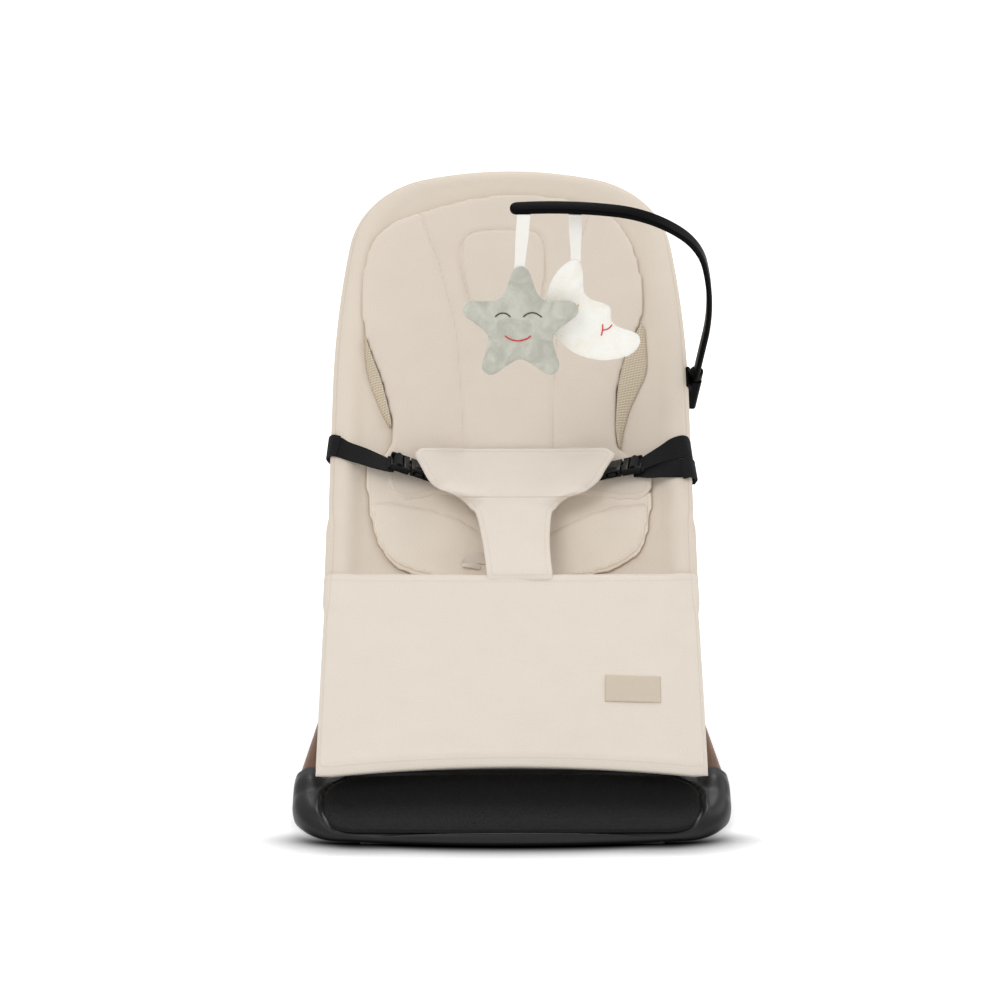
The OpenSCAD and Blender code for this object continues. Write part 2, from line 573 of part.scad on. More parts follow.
// A holster for the bar's spigot, with a jaw that snaps on the side tube from behind
module toy_bar_clip() color(plastic_colour) difference() {
    union() {
        on_bar() bar_foot() translate([0, 6.4, 0]) rotate([-90, 0, 0]) linear_extrude(42) {
            rounded_square(14.6, 16, 4);
            translate([7, 0]) square([12, 12], center = true);
        }
        on_back() translate([tube_x, clip_v + 12, 0]) rotate([90, 0, 0]) linear_extrude(24) difference() {
            circle(clip_bore_r + 3.6);
            polygon([[0, 0], [40, 40], [0, 60], [-60, 20], [-40, -14.5]]);
        }
    }
    on_bar() bar_foot() rotate([-90, 0, 0]) cylinder(h = 60, r = spigot_r + 0.05);
    on_bar() bar_foot() translate([0, -10, 0]) rotate([-90, 0, 0]) cylinder(h = 16.4, r = 8);
    on_back() translate([tube_x, clip_v - 60, 0]) rotate([-90, 0, 0]) cylinder(h = 120, r = clip_bore_r);
}

module ribbon_loop(x) color([0.96, 0.95, 0.92]) on_bar() translate([x, bar_p(x), 0])
    rotate([0, 0, -asin((x - bar_top_x) / bar_crown_r)]) difference() {
    cube([ribbon_w, bar_t + 2.8, bar_w + 2.8], center = true);
    cube([ribbon_w + 2, bar_t + 1.0, bar_w + 0.8], center = true);
}

module ribbon(x, axis, drop) color([0.96, 0.95, 0.92]) rig() translate([x - ribbon_w / 2, axis[0], axis[1]]) {
    translate([0, -ribbon_t / 2, -drop]) cube([ribbon_w, ribbon_t, drop]);
    rotate([0, 90, 0]) cylinder(h = ribbon_w, d = ribbon_t);
}

star_drop = 53.4;
star_r = 62.4;
arm_r = 10;
module star_outline() {
    for (i = [0:4]) rotate(90 + 72 * i) {
        polygon([[0, -19], [star_r - arm_r, -arm_r * 0.97], [star_r - arm_r, arm_r * 0.97], [0, 19]]);
        translate([star_r - arm_r, 0]) circle(arm_r);
    }
    circle(34);
}

module star() color([0.76, 0.76, 0.71]) rig() translate([star_x - 3, star_axis[0], star_axis[1] - star_drop - star_r])
    rotate([90, 0, 0]) translate([0, 0, -toy_t / 2]) linear_extrude(toy_t) star_outline();

// A fat crescent that opens to the upper right, with a nose on its inner side
moon_drop = 53.5;
moon_rise = 55.5;
moon_outline = [[-20.8, 53.8], [-14, 55.5], [-9.3, 51], [-7, 44], [-6.6, 36], [-7, 26], [-5, 19], [1, 14], [10, 10.4],
    [18, 7.8], [23, 2.5], [22.8, -5], [24, -12], [30, -16.5], [39, -19.3], [48.6, -22.5], [53.5, -27.5], [54, -33],
    [51, -40], [45, -45.4], [38, -48.6], [27, -51.4], [14, -52.4], [3, -51], [-8, -47.8], [-19, -42.5], [-28, -35.5],
    [-35, -27.5], [-40.5, -18], [-44.3, -6], [-45.8, 6], [-45.3, 18], [-42.5, 28], [-38, 36.4], [-32, 45.5],
    [-26.5, 50.7]];
module moon() color([0.97, 0.95, 0.9]) rig() translate([moon_x + 16, moon_axis[0], moon_axis[1] - moon_drop - moon_rise])
    rotate([90, 0, 0]) translate([0, 0, -toy_t / 2]) linear_extrude(toy_t) polygon(moon_outline);

front_foot();
front_foot_pad();
front_foot_cover();
front_grips();
cover_screws();
side_rail(false);  // left_rail
side_rail(true);  // right_rail
rear_foot();
rear_grips();
rail_screws();
pivot_pin(false);  // left_pivot_pin
pivot_pin(true);  // right_pivot_pin
torsion_spring(false);  // left_torsion_spring
torsion_spring(true);  // right_torsion_spring
spring_frame();
leg_hoop();
leg_hub(false);  // left_leg_hub
leg_hub(true);  // right_leg_hub
hub_screws();
leg_cover();
leg_cover_tab();
back_hoop();
back_hub(false);  // left_back_hub
back_hub(true);  // right_back_hub
back_cover();
infant_insert();
head_pad();
seat_pad();
waist_panel();
strap(false);  // left_strap
strap(true);  // right_strap
buckle_socket(false);  // left_buckle_socket
buckle_socket(true);  // right_buckle_socket
buckle_plug(false);  // left_buckle_plug
buckle_plug(true);  // right_buckle_plug
strap_tail(false);  // left_strap_tail
strap_tail(true);  // right_strap_tail
prong(false, false);  // left_upper_prong
prong(false, true);  // left_lower_prong
prong(true, false);  // right_upper_prong
prong(true, true);  // right_lower_prong
lock_button(false);  // left_lock_button
lock_button(true);  // right_lock_button
button_spring(false);  // left_button_spring
button_spring(true);  // right_button_spring
toy_bar_clip();
toy_bar();
ribbon_loop(star_x);  // star_loop
ribbon_loop(moon_x);  // moon_loop
star();
ribbon(star_x, star_axis, star_drop);  // star_ribbon
moon();
ribbon(moon_x, moon_axis, moon_drop);  // moon_ribbon
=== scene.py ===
import math

import bpy
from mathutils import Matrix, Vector, noise
from mathutils.bvhtree import BVHTree
from mathutils.kdtree import KDTree


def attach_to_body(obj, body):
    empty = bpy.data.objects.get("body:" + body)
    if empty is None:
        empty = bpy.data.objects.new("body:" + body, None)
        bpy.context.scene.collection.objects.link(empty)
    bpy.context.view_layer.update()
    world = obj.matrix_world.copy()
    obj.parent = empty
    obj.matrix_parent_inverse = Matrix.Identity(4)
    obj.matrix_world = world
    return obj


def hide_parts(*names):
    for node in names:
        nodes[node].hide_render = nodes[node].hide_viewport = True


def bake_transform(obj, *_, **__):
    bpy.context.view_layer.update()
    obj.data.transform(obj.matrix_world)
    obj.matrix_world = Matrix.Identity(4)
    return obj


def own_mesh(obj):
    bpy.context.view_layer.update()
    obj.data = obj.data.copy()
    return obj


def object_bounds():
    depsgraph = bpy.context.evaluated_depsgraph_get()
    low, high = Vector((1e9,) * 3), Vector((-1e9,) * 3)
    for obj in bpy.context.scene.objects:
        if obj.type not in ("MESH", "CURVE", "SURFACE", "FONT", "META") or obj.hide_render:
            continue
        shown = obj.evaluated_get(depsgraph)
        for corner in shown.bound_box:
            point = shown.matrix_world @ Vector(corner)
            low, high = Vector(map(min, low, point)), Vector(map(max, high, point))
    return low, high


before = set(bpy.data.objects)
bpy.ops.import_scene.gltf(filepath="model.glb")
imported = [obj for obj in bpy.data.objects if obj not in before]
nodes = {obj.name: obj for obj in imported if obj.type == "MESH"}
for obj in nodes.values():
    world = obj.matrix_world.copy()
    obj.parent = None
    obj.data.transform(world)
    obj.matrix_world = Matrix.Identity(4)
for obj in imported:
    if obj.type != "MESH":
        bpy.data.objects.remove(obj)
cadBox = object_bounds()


def rad(degrees):
    return math.radians(degrees)


def cosSin(degrees):
    return math.cos(rad(degrees)), math.sin(rad(degrees))


# small tools for modelling

def clearSelection():  # an operator then acts only on what is made next
    if bpy.context.object and bpy.context.object.mode != "OBJECT":
        bpy.ops.object.mode_set(mode="OBJECT")
    bpy.ops.object.select_all(action="DESELECT")


def pick(piece):
    clearSelection()
    piece.select_set(True)
    bpy.context.view_layer.objects.active = piece


def named(name):
    piece = bpy.context.object
    piece.name = name
    piece.data.name = name
    return piece


def settle(piece):  # its place goes into its mesh
    pick(piece)
    bpy.ops.object.transform_apply(location=True, rotation=True, scale=True)
    return piece


def modify(piece, kind, **settings):
    pick(piece)
    extra = piece.modifiers.new(kind.lower(), kind)
    for key, value in settings.items():
        setattr(extra, key, value)
    bpy.ops.object.modifier_apply(modifier=extra.name)
    return piece


def editAll(piece, *steps):  # each step is an operator with its settings, run on the whole mesh
    pick(piece)
    bpy.ops.object.mode_set(mode="EDIT")
    bpy.ops.mesh.select_all(action="SELECT")
    for step, settings in steps:
        step(**settings)
    bpy.ops.object.mode_set(mode="OBJECT")
    return piece


def outward(piece, merge=1e-5):
    return editAll(piece, (bpy.ops.mesh.remove_doubles, {"threshold": merge}),
                   (bpy.ops.mesh.normals_make_consistent, {"inside": False}))


def smooth(piece, angle=None):
    pick(piece)
    if angle is None:
        bpy.ops.object.shade_smooth()
    else:
        bpy.ops.object.shade_smooth_by_angle(angle=rad(angle))
    return piece


def joinAll(name, pieces):
    clearSelection()
    for piece in pieces:
        piece.select_set(True)
    bpy.context.view_layer.objects.active = pieces[0]
    bpy.ops.object.join()
    return named(name)


def paint(piece, material):
    piece.data.materials.clear()
    piece.data.materials.append(material)
    return piece


def attach(piece, body, stands=()):  # what carries it and what it stands for
    if body:
        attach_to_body(piece, body)
    if stands:
        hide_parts(*stands)
    return piece


def meshOf(name, places, faces):
    shape = bpy.data.meshes.new(name)
    shape.from_pydata(places, [], faces)
    piece = bpy.data.objects.new(name, shape)
    bpy.context.scene.collection.objects.link(piece)
    return piece


def ringFaces(count, n):  # quads between count rings of n points
    return [[i * n + k, i * n + (k + 1) % n, (i + 1) * n + (k + 1) % n, (i + 1) * n + k]
            for i in range(count - 1) for k in range(n)]


def gridOf(name, across, along, place, cloth=None):  # place(u, w), and cloth(u, w) is its spot on the flat cloth
    clearSelection()
    bpy.ops.mesh.primitive_grid_add(x_subdivisions=across, y_subdivisions=along, size=2)
    piece = named(name)
    spots = []
    for vert in piece.data.vertices:
        u, w = (vert.co.x + 1) / 2, (vert.co.y + 1) / 2
        spots.append((u, w))
        vert.co = place(u, w)
    if cloth:
        layer = piece.data.uv_layers.active
        for loop in piece.data.loops:
            layer.data[loop.index].uv = cloth(*spots[loop.vertex_index])
    return piece


def lerp(a, b, t):
    return a + (b - a) * t


def ease(a, b, t):  # 0 before a, 1 after b
    t = min(1, max(0, (t - a) / (b - a)))
    return t * t * (3 - 2 * t)


def along(table, t):  # a smooth curve through (t, value) pairs
    if t <= table[0][0]:
        return table[0][1]
    if t >= table[-1][0]:
        return table[-1][1]
    i = max(k for k in range(len(table) - 1) if table[k][0] <= t)
    (t0, y0), (t1, y1) = table[i], table[i + 1]
    before = table[i - 1] if i else (2 * t0 - t1, 2 * y0 - y1)
    after = table[i + 2] if i + 2 < len(table) else (2 * t1 - t0, 2 * y1 - y0)
    m0 = (y1 - before[1]) / (t1 - before[0]) * (t1 - t0)
    m1 = (after[1] - y0) / (after[0] - t0) * (t1 - t0)
    f = (t - t0) / (t1 - t0)
    return ((2 * f ** 3 - 3 * f * f + 1) * y0 + (f ** 3 - 2 * f * f + f) * m0
            + (3 * f * f - 2 * f ** 3) * y1 + (f ** 3 - f * f) * m1)


def gapOf(a, b):  # between two points whose first two values are their place
    return math.dist(a[:2], b[:2])


def lengthsOf(points, gap=gapOf):  # how far along a line each of its points is
    gone = [0]
    for a, b in zip(points, points[1:]):
        gone.append(gone[-1] + gap(a, b))
    return gone


def roundPath(points, closed=False, step=3.0):  # a smooth line through points, in even steps
    n = len(points)
    dense = []
    for i in range(n if closed else n - 1):
        p = [points[(i + k) % n] if closed else points[min(n - 1, max(0, i + k))] for k in (-1, 0, 1, 2)]
        for k in range(12):
            t = k / 12
            dense.append(tuple(0.5 * (2 * b + (c - a) * t + (2 * a - 5 * b + 4 * c - d) * t * t
                                      + (3 * b - a - 3 * c + d) * t ** 3) for a, b, c, d in zip(*p)))
    dense.append(dense[0] if closed else tuple(points[-1]))
    lengths = lengthsOf(dense, math.dist)
    count = max(2, round(lengths[-1] / step))
    line, j = [], 0
    for i in range(count if closed else count + 1):
        at = lengths[-1] * i / count
        while j < len(lengths) - 2 and lengths[j + 1] < at:
            j += 1
        t = (at - lengths[j]) / max(1e-9, lengths[j + 1] - lengths[j])
        line.append(tuple(lerp(a, b, t) for a, b in zip(dense[j], dense[j + 1])))
    return line


def pipeOf(name, points, radius):  # a round cord along points in metres
    spline = bpy.data.curves.new(name, "CURVE")
    spline.dimensions = "3D"
    spline.bevel_depth = radius
    spline.bevel_resolution = 1
    spline.use_fill_caps = True
    run = spline.splines.new("POLY")
    run.points.add(len(points) - 1)
    for point, co in zip(run.points, points):
        point.co = (*co, 1)
    thing = bpy.data.objects.new(name, spline)
    bpy.context.scene.collection.objects.link(thing)
    pick(thing)
    bpy.ops.object.convert(target="MESH")
    return named(name)


# where things are, in millimetres on the two sloping planes

seat = {"kneeY": -40, "kneeZ": 193, "backSlope": 46, "legSlope": 34, "tubeX": 187.5}


def onSlope(slope, x, v, h):
    c, s = cosSin(slope)
    return Vector((x, seat["kneeY"] + v * c - h * s, seat["kneeZ"] + v * s + h * c)) / 1000


def onBack(x, v, h):
    return onSlope(seat["backSlope"], x, v, h)


def onLeg(x, v, h):
    return onSlope(seat["legSlope"], x, v, h)


def walk(x, v, heading, trail, step):  # points (x, v, heading) along straights (length, 0) and arcs (turn, radius)
    points = [(x, v, heading)]
    for size, radius in trail:
        long = size if radius == 0 else abs(rad(size) * radius)
        n = max(1, round(long / step), math.ceil(abs(size) / 11) if radius else 0)
        x0, v0, h0 = points[-1]
        for k in range(1, n + 1):
            if radius == 0:
                points.append((x0 + size * k / n * math.sin(rad(h0)), v0 + size * k / n * math.cos(rad(h0)), h0))
            else:
                h = h0 + size * k / n * (1 if radius > 0 else -1)
                points.append((x0 + radius * (math.cos(rad(h0)) - math.cos(rad(h))),
                               v0 + radius * (math.sin(rad(h)) - math.sin(rad(h0))), h))
    return points


hoop = {"sideStart": 220, "sideLean": 8.16, "sideR": 1311, "cornerLean": 76.6, "cornerR": 101, "crownR": 411.8,
        "bottom": -20, "step": 5.2}
hoopLine = walk(seat["tubeX"], hoop["bottom"], 0, [
    (hoop["sideStart"] - hoop["bottom"], 0), (hoop["sideLean"], -hoop["sideR"]), (2, 0),
    (hoop["cornerLean"] - hoop["sideLean"], -hoop["cornerR"]), (2, 0), (90 - hoop["cornerLean"], -hoop["crownR"])],
    hoop["step"])
hoopTop = hoopLine[-1][1]

slingDepth = [(-20, 19), (0, 49), (40, 65), (90, 67), (150, 57), (250, 41), (350, 29), (430, 19), (500, 9)]
sling = {"rim": 8.8, "power": 2.6, "fanStart": 380, "fanShare": 0.4}


def fanFoot(v):  # where the line from a hoop point meets the middle
    return v if v < sling["fanStart"] else sling["fanStart"] + (v - sling["fanStart"]) * sling["fanShare"]


def slingAt(r, v):
    return sling["rim"] - along(slingDepth, v) * (1 - r ** sling["power"])


def hoopHalf(v):
    if v >= hoopTop:
        return 1.0
    if v <= hoop["sideStart"]:
        return seat["tubeX"]
    i = max(k for k in range(len(hoopLine) - 1) if hoopLine[k][1] <= v)
    a, b = hoopLine[i], hoopLine[i + 1]
    return lerp(a[0], b[0], (v - a[1]) / max(1e-9, b[1] - a[1]))


fanPoints = [p for p in hoopLine if p[1] >= sling["fanStart"] - 6]


def coverHeight(x, v):  # the back cover's upper side at a place on the back plane
    x = abs(x)
    if v <= sling["fanStart"]:
        return slingAt(min(1, x / hoopHalf(v)), v)
    low, high = 0, len(fanPoints) - 1
    side = lambda p: (p[0] * (v - fanFoot(p[1])) - (p[1] - fanFoot(p[1])) * x)
    while high - low > 1:
        mid = (low + high) // 2
        low, high = (mid, high) if side(fanPoints[mid]) > 0 else (low, mid)
    a, b = fanPoints[low], fanPoints[high]
    sa, sb = side(a), side(b)
    t = min(1, max(0, sa / (sa - sb))) if abs(sa - sb) > 1e-9 else 0
    px, pv = lerp(a[0], b[0], t), lerp(a[1], b[1], t)
    reach = math.hypot(px, pv - fanFoot(pv))
    return slingAt(min(1, math.hypot(x, v - fanFoot(pv)) / reach), v)


print("planes and hoop set out")


# finishes

def tone(red, green, blue):  # a screen colour, 0 to 255, as the linear colour a shader wants
    return tuple(((c / 255 + 0.055) / 1.055) ** 2.4 if c > 10 else c / 255 / 12.92 for c in (red, green, blue)) + (1,)


class Wire:  # one output of a shader node, so that shader maths reads as plain sums
    def __init__(self, recipe, socket):
        self.recipe, self.socket = recipe, socket

    def maths(self, operation, *values):
        return self.recipe.put("Math", {"operation": operation}, dict(enumerate(values)))

    def __add__(self, other):
        return self.maths("ADD", self, other)

    def __sub__(self, other):
        return self.maths("SUBTRACT", self, other)

    def __rsub__(self, other):
        return self.maths("SUBTRACT", other, self)

    def __mul__(self, other):
        return self.maths("MULTIPLY", self, other)

    def __pow__(self, other):
        return self.maths("POWER", self, other)

    def __gt__(self, other):
        return self.maths("GREATER_THAN", self, other)

    __radd__, __rmul__ = __add__, __mul__

    def sine(self):
        return self.maths("SINE", self)

    def size(self):
        return self.maths("ABSOLUTE", self)

    def within(self, low, high):  # 0 at low, 1 at high, smooth between
        return self.recipe.put("MapRange", {"interpolation_type": "SMOOTHSTEP"},
                               {"Value": self, "From Min": low, "From Max": high})


class Recipe:  # the nodes of one material, or of the world
    def __init__(self, name, world=False):
        self.material = (bpy.data.worlds if world else bpy.data.materials).new(name)
        self.material.use_nodes = True
        self.tree = self.material.node_tree
        self.tree.nodes.clear()

    def put(self, kind, settings=None, sockets=None, out=0):
        node = self.tree.nodes.new("ShaderNode" + kind)
        for key, value in (settings or {}).items():
            setattr(node, key, value)
        for key, value in (sockets or {}).items():
            if isinstance(value, Wire):
                self.tree.links.new(value.socket, node.inputs[key])
            else:
                node.inputs[key].default_value = value
        return Wire(self, node.outputs[out]) if len(node.outputs) else None

    def spot(self):
        return self.put("TexCoord", out="Object")

    def cloth(self):  # the point's place on the flat cloth, in metres
        return self.put("UVMap")

    def split(self, vector):
        return [self.put("SeparateXYZ", None, {0: vector}, out=k) for k in range(3)]

    def grain(self, vector, scale, detail=4, rough=0.5, warp=0.0):
        return self.put("TexNoise", None, {"Vector": vector, "Scale": scale, "Detail": detail, "Roughness": rough,
                                           "Distortion": warp})

    def stretch(self, vector, x, y, z, turn=(0, 0, 0)):
        return self.put("Mapping", None, {"Vector": vector, "Scale": (x, y, z), "Rotation": turn})

    def mark(self, name):  # a value stored on the mesh
        return self.put("Attribute", {"attribute_name": name}, out="Fac")

    def mix(self, share, a, b, how="MIX"):
        return self.put("Mix", {"data_type": "RGBA", "blend_type": how}, {0: share, 6: a, 7: b}, out=2)

    def shade(self, colour, amount):  # darker or lighter by a factor
        return self.mix(1.0, colour, self.put("CombineXYZ", None, {0: amount, 1: amount, 2: amount}), "MULTIPLY")

    def done(self, colour, rough, height=None, depth=0.0004, strength=1.0, **fixed):
        sockets = {"Base Color": colour, "Roughness": rough}
        if height is not None:
            sockets["Normal"] = self.put("Bump", None, {"Height": height, "Distance": depth, "Strength": strength})
        sockets.update({key.replace("_", " "): value for key, value in fixed.items()})
        surface = self.put("BsdfPrincipled", None, sockets)
        self.put("OutputMaterial", None, {"Surface": surface})
        return self.material


weaveSet = {"slub": 0.5, "fleck": 3.2, "drift": 0.9, "streak": 0.6, "stitch": 0.3, "stitchLong": 0.0016}


def wovenCloth(name, colour, seamShow=0.4, thread=0.0009, mottle=0.06):
    r = Recipe(name)
    flat, slub = r.cloth(), weaveSet["slub"]
    u, v, _ = r.split(flat)
    weft = (u * (math.pi / thread)).sine().size()
    warp = (v * (math.pi / thread)).sine().size()
    over = ((u * (math.pi / 2 / thread)).sine() * (v * (math.pi / 2 / thread)).sine()) > 0
    weave = weft * over + warp * (1 - over)
    fleck = r.grain(flat, 700, 3, 0.6)
    drift = r.grain(flat, 26, 3, 0.55)
    streak = r.grain(r.stretch(flat, 60, 900, 1), 1, 2) * slub + r.grain(r.stretch(flat, 900, 60, 1), 1, 2) * slub
    uneven = ((fleck - 0.5) * weaveSet["fleck"] + (drift - 0.5) * weaveSet["drift"]
              + (streak - slub) * weaveSet["streak"])
    # the weave term paints the threads lighter and the gaps between them darker: painted shade
    tint = r.shade(colour, 1 + uneven * mottle + (weave - 0.6) * 0.03)
    height = weave * 0.35 + fleck * 0.3 + streak * 0.2
    if seamShow:  # both marks hold a distance in metres from a line of stitches
        line = 1 - r.mark("seam").size().within(0.0002, 0.0011)
        stitch = 1 - r.mark("hem").size().within(0.0001, 0.0006)
        dash = ((u + v) * (math.pi / weaveSet["stitchLong"])).sine().within(-0.5, 0.4)
        # the seam line is painted shade along the seam's groove, in the seam colour; the dashes are the stitching
        # thread
        tint = r.mix(line * seamShow + stitch * dash * weaveSet["stitch"], tint, cloths["seam"])
        height = height - line * (4 * seamShow) - stitch * 0.9
    return r.done(tint, 0.9 + (fleck - 0.5) * 0.1, height, 0.00035, 0.7, Sheen_Weight=0.12, Sheen_Roughness=0.5,
                  Specular_IOR_Level=0.15)


def meshCloth(name, colour, holeShade):  # open hexagon net; its holes are painted shade, a darker colour where the space behind the net is in shadow
    r = Recipe(name)
    x, y, _ = r.split(r.stretch(r.cloth(), 420, 240, 1, (0, 0, rad(38))))
    rowA = ((x * math.pi).sine().size() + (y * math.pi).sine().size())
    rowB = (((x + 0.5) * math.pi).sine().size() + ((y + 0.5) * math.pi).sine().size())
    net = rowA.maths("MINIMUM", rowA, rowB).within(0.5, 1.0)
    fine = r.grain(r.cloth(), 900, 2)
    tint = r.mix(net, r.shade(holeShade, 0.85 + fine * 0.3), r.shade(colour, 0.94 + fine * 0.12))
    return r.done(tint, 0.85, net * 0.8 + fine * 0.2, 0.0008, 0.8, Sheen_Weight=0.1, Specular_IOR_Level=0.15)


def webbingFinish(name):
    r = Recipe(name)
    u, v, _ = r.split(r.cloth())
    rib = (v * (math.pi / 0.0016)).sine().size()
    knit = (u * (math.pi / 0.0011) + (v * (math.pi / 0.0032)).sine() * 1.2).sine().size()
    fuzz = r.grain(r.cloth(), 1200, 2)
    height = rib * 0.6 + knit * 0.4 + fuzz * 0.2
    # the ribs are painted lighter and the hollows between them darker, in step with their height: painted shade
    tint = r.mix(height * 0.6, tone(12, 12, 13), tone(36, 36, 37))
    return r.done(tint, 0.8 + fuzz * 0.15, height, 0.0005, 0.8, Sheen_Weight=0.05, Specular_IOR_Level=0.12)


def mouldedFinish(name, colour, rough, texture=900, bump=0.00006, gloss=0.5):
    r = Recipe(name)
    where = r.spot()
    fine, broad = r.grain(where, texture, 3, 0.6), r.grain(where, 9, 3)
    tint = r.shade(colour, 0.9 + fine * 0.1 + broad * 0.1)
    return r.done(tint, (rough + (broad - 0.5) * 0.12) + (fine - 0.5) * 0.08, fine, bump, 1.0,
                  Specular_IOR_Level=gloss)


def padFinish(name, colour):  # leather-like grain moulded in plastic
    r = Recipe(name)
    where = r.spot()
    warped = r.put("VectorMath", {"operation": "ADD"}, {0: where, 1: r.put(
        "VectorMath", {"operation": "SCALE"}, {0: r.put("TexNoise", None, {"Vector": where, "Scale": 300}, out=1),
                                               "Scale": 0.0012})})
    cell = r.put("TexVoronoi", {"feature": "DISTANCE_TO_EDGE"}, {"Vector": warped, "Scale": 620})
    ridge = cell.within(0.0, 0.25)
    broad = r.grain(where, 12, 3)
    # the grain's grooves are painted darker than the cells between them: painted shade
    tint = r.shade(r.mix(ridge, r.shade(colour, 0.7), colour), 0.85 + broad * 0.3)
    return r.done(tint, 0.56 + (1 - ridge) * 0.2, ridge + r.grain(where, 2500, 2) * 0.3, 0.00012, 0.9,
                  Specular_IOR_Level=0.2)


def walnutFinish(name):
    r = Recipe(name)
    where = r.spot()
    x, y, z = r.split(where)
    bend = r.grain(r.stretch(where, 9, 1.4, 9), 3, 3) * 0.012
    ring = ((((x * x) + (z * z)) ** 0.5 + bend) * 900).sine() * 0.5 + 0.5
    fibre = r.grain(r.stretch(where, 700, 14, 700), 1, 5, 0.65)
    pore = r.grain(r.stretch(where, 1500, 60, 1500), 1, 2).within(0.6, 0.72)
    patch = r.grain(r.stretch(where, 20, 3, 20), 1, 3)
    tint = r.mix(fibre.within(0.25, 0.75), tone(80, 49, 27), tone(140, 92, 55))
    tint = r.mix(ring * 0.35, tint, tone(84, 54, 33))
    tint = r.mix(pore * 0.6, r.shade(tint, 0.8 + patch * 0.4), tone(44, 27, 17))
    return r.done(tint, 0.38 + fibre * 0.18, fibre * 0.5 - pore * 0.5, 0.00012, 0.8, Coat_Weight=0.06,
                  Coat_Roughness=0.3, Specular_IOR_Level=0.2)


def metalFinish(name, colour, rough, turned=False):
    r = Recipe(name)
    where = r.spot()
    brush = r.grain(r.stretch(where, 3000, 3000, 300) if turned else where, 1 if turned else 1400, 3, 0.6)
    broad = r.grain(where, 40, 3)
    tint = r.shade(colour, 0.88 + brush * 0.14 + broad * 0.1)
    return r.done(tint, (rough + (brush - 0.5) * 0.12) + (broad - 0.5) * 0.06, brush, 0.00003, 0.8, Metallic=1.0)


def powderFinish(name, colour):
    r = Recipe(name)
    where = r.spot()
    peel, broad = r.grain(where, 1100, 2), r.grain(where, 30, 3)
    return r.done(r.shade(colour, 0.9 + broad * 0.2), 0.42 + peel * 0.16, peel, 0.00008, 0.8, Specular_IOR_Level=0.5)


def rubberFinish(name):
    r = Recipe(name)
    fine = r.grain(r.spot(), 1600, 3, 0.7)
    return r.done(r.shade(tone(34, 34, 35), 0.85 + fine * 0.3), 0.8 + fine * 0.1, fine, 0.0001, 0.8)


def plushFinish(name, colour, shadow):  # short pile that lies in soft patches
    r = Recipe(name)
    where = r.spot()
    pile = r.grain(where, 900, 4, 0.7, 0.4)
    brushed = r.grain(where, 46, 4, 0.6, 1.2)
    deep = r.grain(where, 14, 2)
    tint = r.mix(brushed.within(0.3, 0.72), shadow, colour)
    tint = r.shade(tint, 0.86 + pile * 0.2 + deep * 0.08)
    return r.done(tint, 0.95, pile * 0.7 + brushed * 1.2, 0.0012, 0.75, Sheen_Weight=0.35, Sheen_Roughness=0.45,
                  Specular_IOR_Level=0.1)


def ribbonFinish(name, colour):
    r = Recipe(name)
    u, v, _ = r.split(r.cloth())
    rib = (v * (math.pi / 0.0009)).sine().size()
    fine = r.grain(r.cloth(), 1500, 2)
    # the ribs are painted a little lighter than the hollows between them: painted shade
    return r.done(r.shade(colour, 0.93 + rib * 0.05 + fine * 0.05), 0.6, rib, 0.0002, 0.7, Sheen_Weight=0.15)


def threadFinish(name, colour):
    r = Recipe(name)
    twist = r.grain(r.stretch(r.spot(), 2200, 2200, 2200), 1, 2)
    return r.done(r.shade(colour, 0.8 + twist * 0.4), 0.6, twist, 0.0001, 0.8, Sheen_Weight=0.2)


# seam is the stitching thread's colour, and also painted shade along the seam grooves
cloths = {"leg": tone(229, 219, 206), "back": tone(226, 214, 199), "insert": tone(226, 214, 200),
          # seat is the insert's cloth painted lighter: painted light that offsets the shade in the seat hollow
          "seat": tone(237, 225, 210), "waist": tone(229, 219, 207), "seam": tone(188, 171, 150),
          # the net's hole colour is painted shade seen through its holes
          "label": tone(211, 197, 179), "mesh": tone(221, 207, 186), "holeShade": tone(176, 158, 128)}
recipes = {
    "legCloth": (wovenCloth, cloths["leg"], 0.18), "backCloth": (wovenCloth, cloths["back"], 0.25),
    "insertCloth": (wovenCloth, cloths["insert"], 0.4, 0.0007, 0.07),
    "seatCloth": (wovenCloth, cloths["seat"], 0.4, 0.0007, 0.08), "waistCloth": (wovenCloth, cloths["waist"]),
    "labelCloth": (wovenCloth, cloths["label"], 0, 0.0006, 0.06),
    "netCloth": (meshCloth, cloths["mesh"], cloths["holeShade"]),
    "webbing": (webbingFinish,), "ribbon": (ribbonFinish, tone(247, 245, 238)),
    "starPlush": (plushFinish, tone(208, 208, 196), tone(186, 186, 175)),
    "moonPlush": (plushFinish, tone(255, 255, 250), tone(252, 247, 236)),
    "blackThread": (threadFinish, tone(42, 42, 42)), "redThread": (threadFinish, tone(206, 52, 48)),
    "yellowThread": (threadFinish, tone(226, 190, 110)),
    "footShell": (mouldedFinish, tone(22, 22, 23), 0.4, 700, 0.00005, 0.34),
    "footPad": (padFinish, tone(14, 14, 15)), "hubPlastic": (mouldedFinish, tone(32, 32, 33), 0.45),
    "buttonPlastic": (mouldedFinish, tone(52, 52, 54), 0.4),
    "bucklePlastic": (mouldedFinish, tone(8, 8, 9), 0.34, 500, 0.00006, 0.16),
    "barPlastic": (mouldedFinish, tone(4, 4, 4), 0.42, 1200, 0.00004, 0.05),
    "gripRubber": (rubberFinish,), "walnut": (walnutFinish,), "blackTube": (powderFinish, tone(30, 30, 31)),
    "zinc": (metalFinish, tone(196, 197, 200), 0.35, True), "springWire": (metalFinish, tone(150, 150, 152), 0.3)}
finishes = {name: recipe(name, *values) for name, (recipe, *values) in recipes.items()}

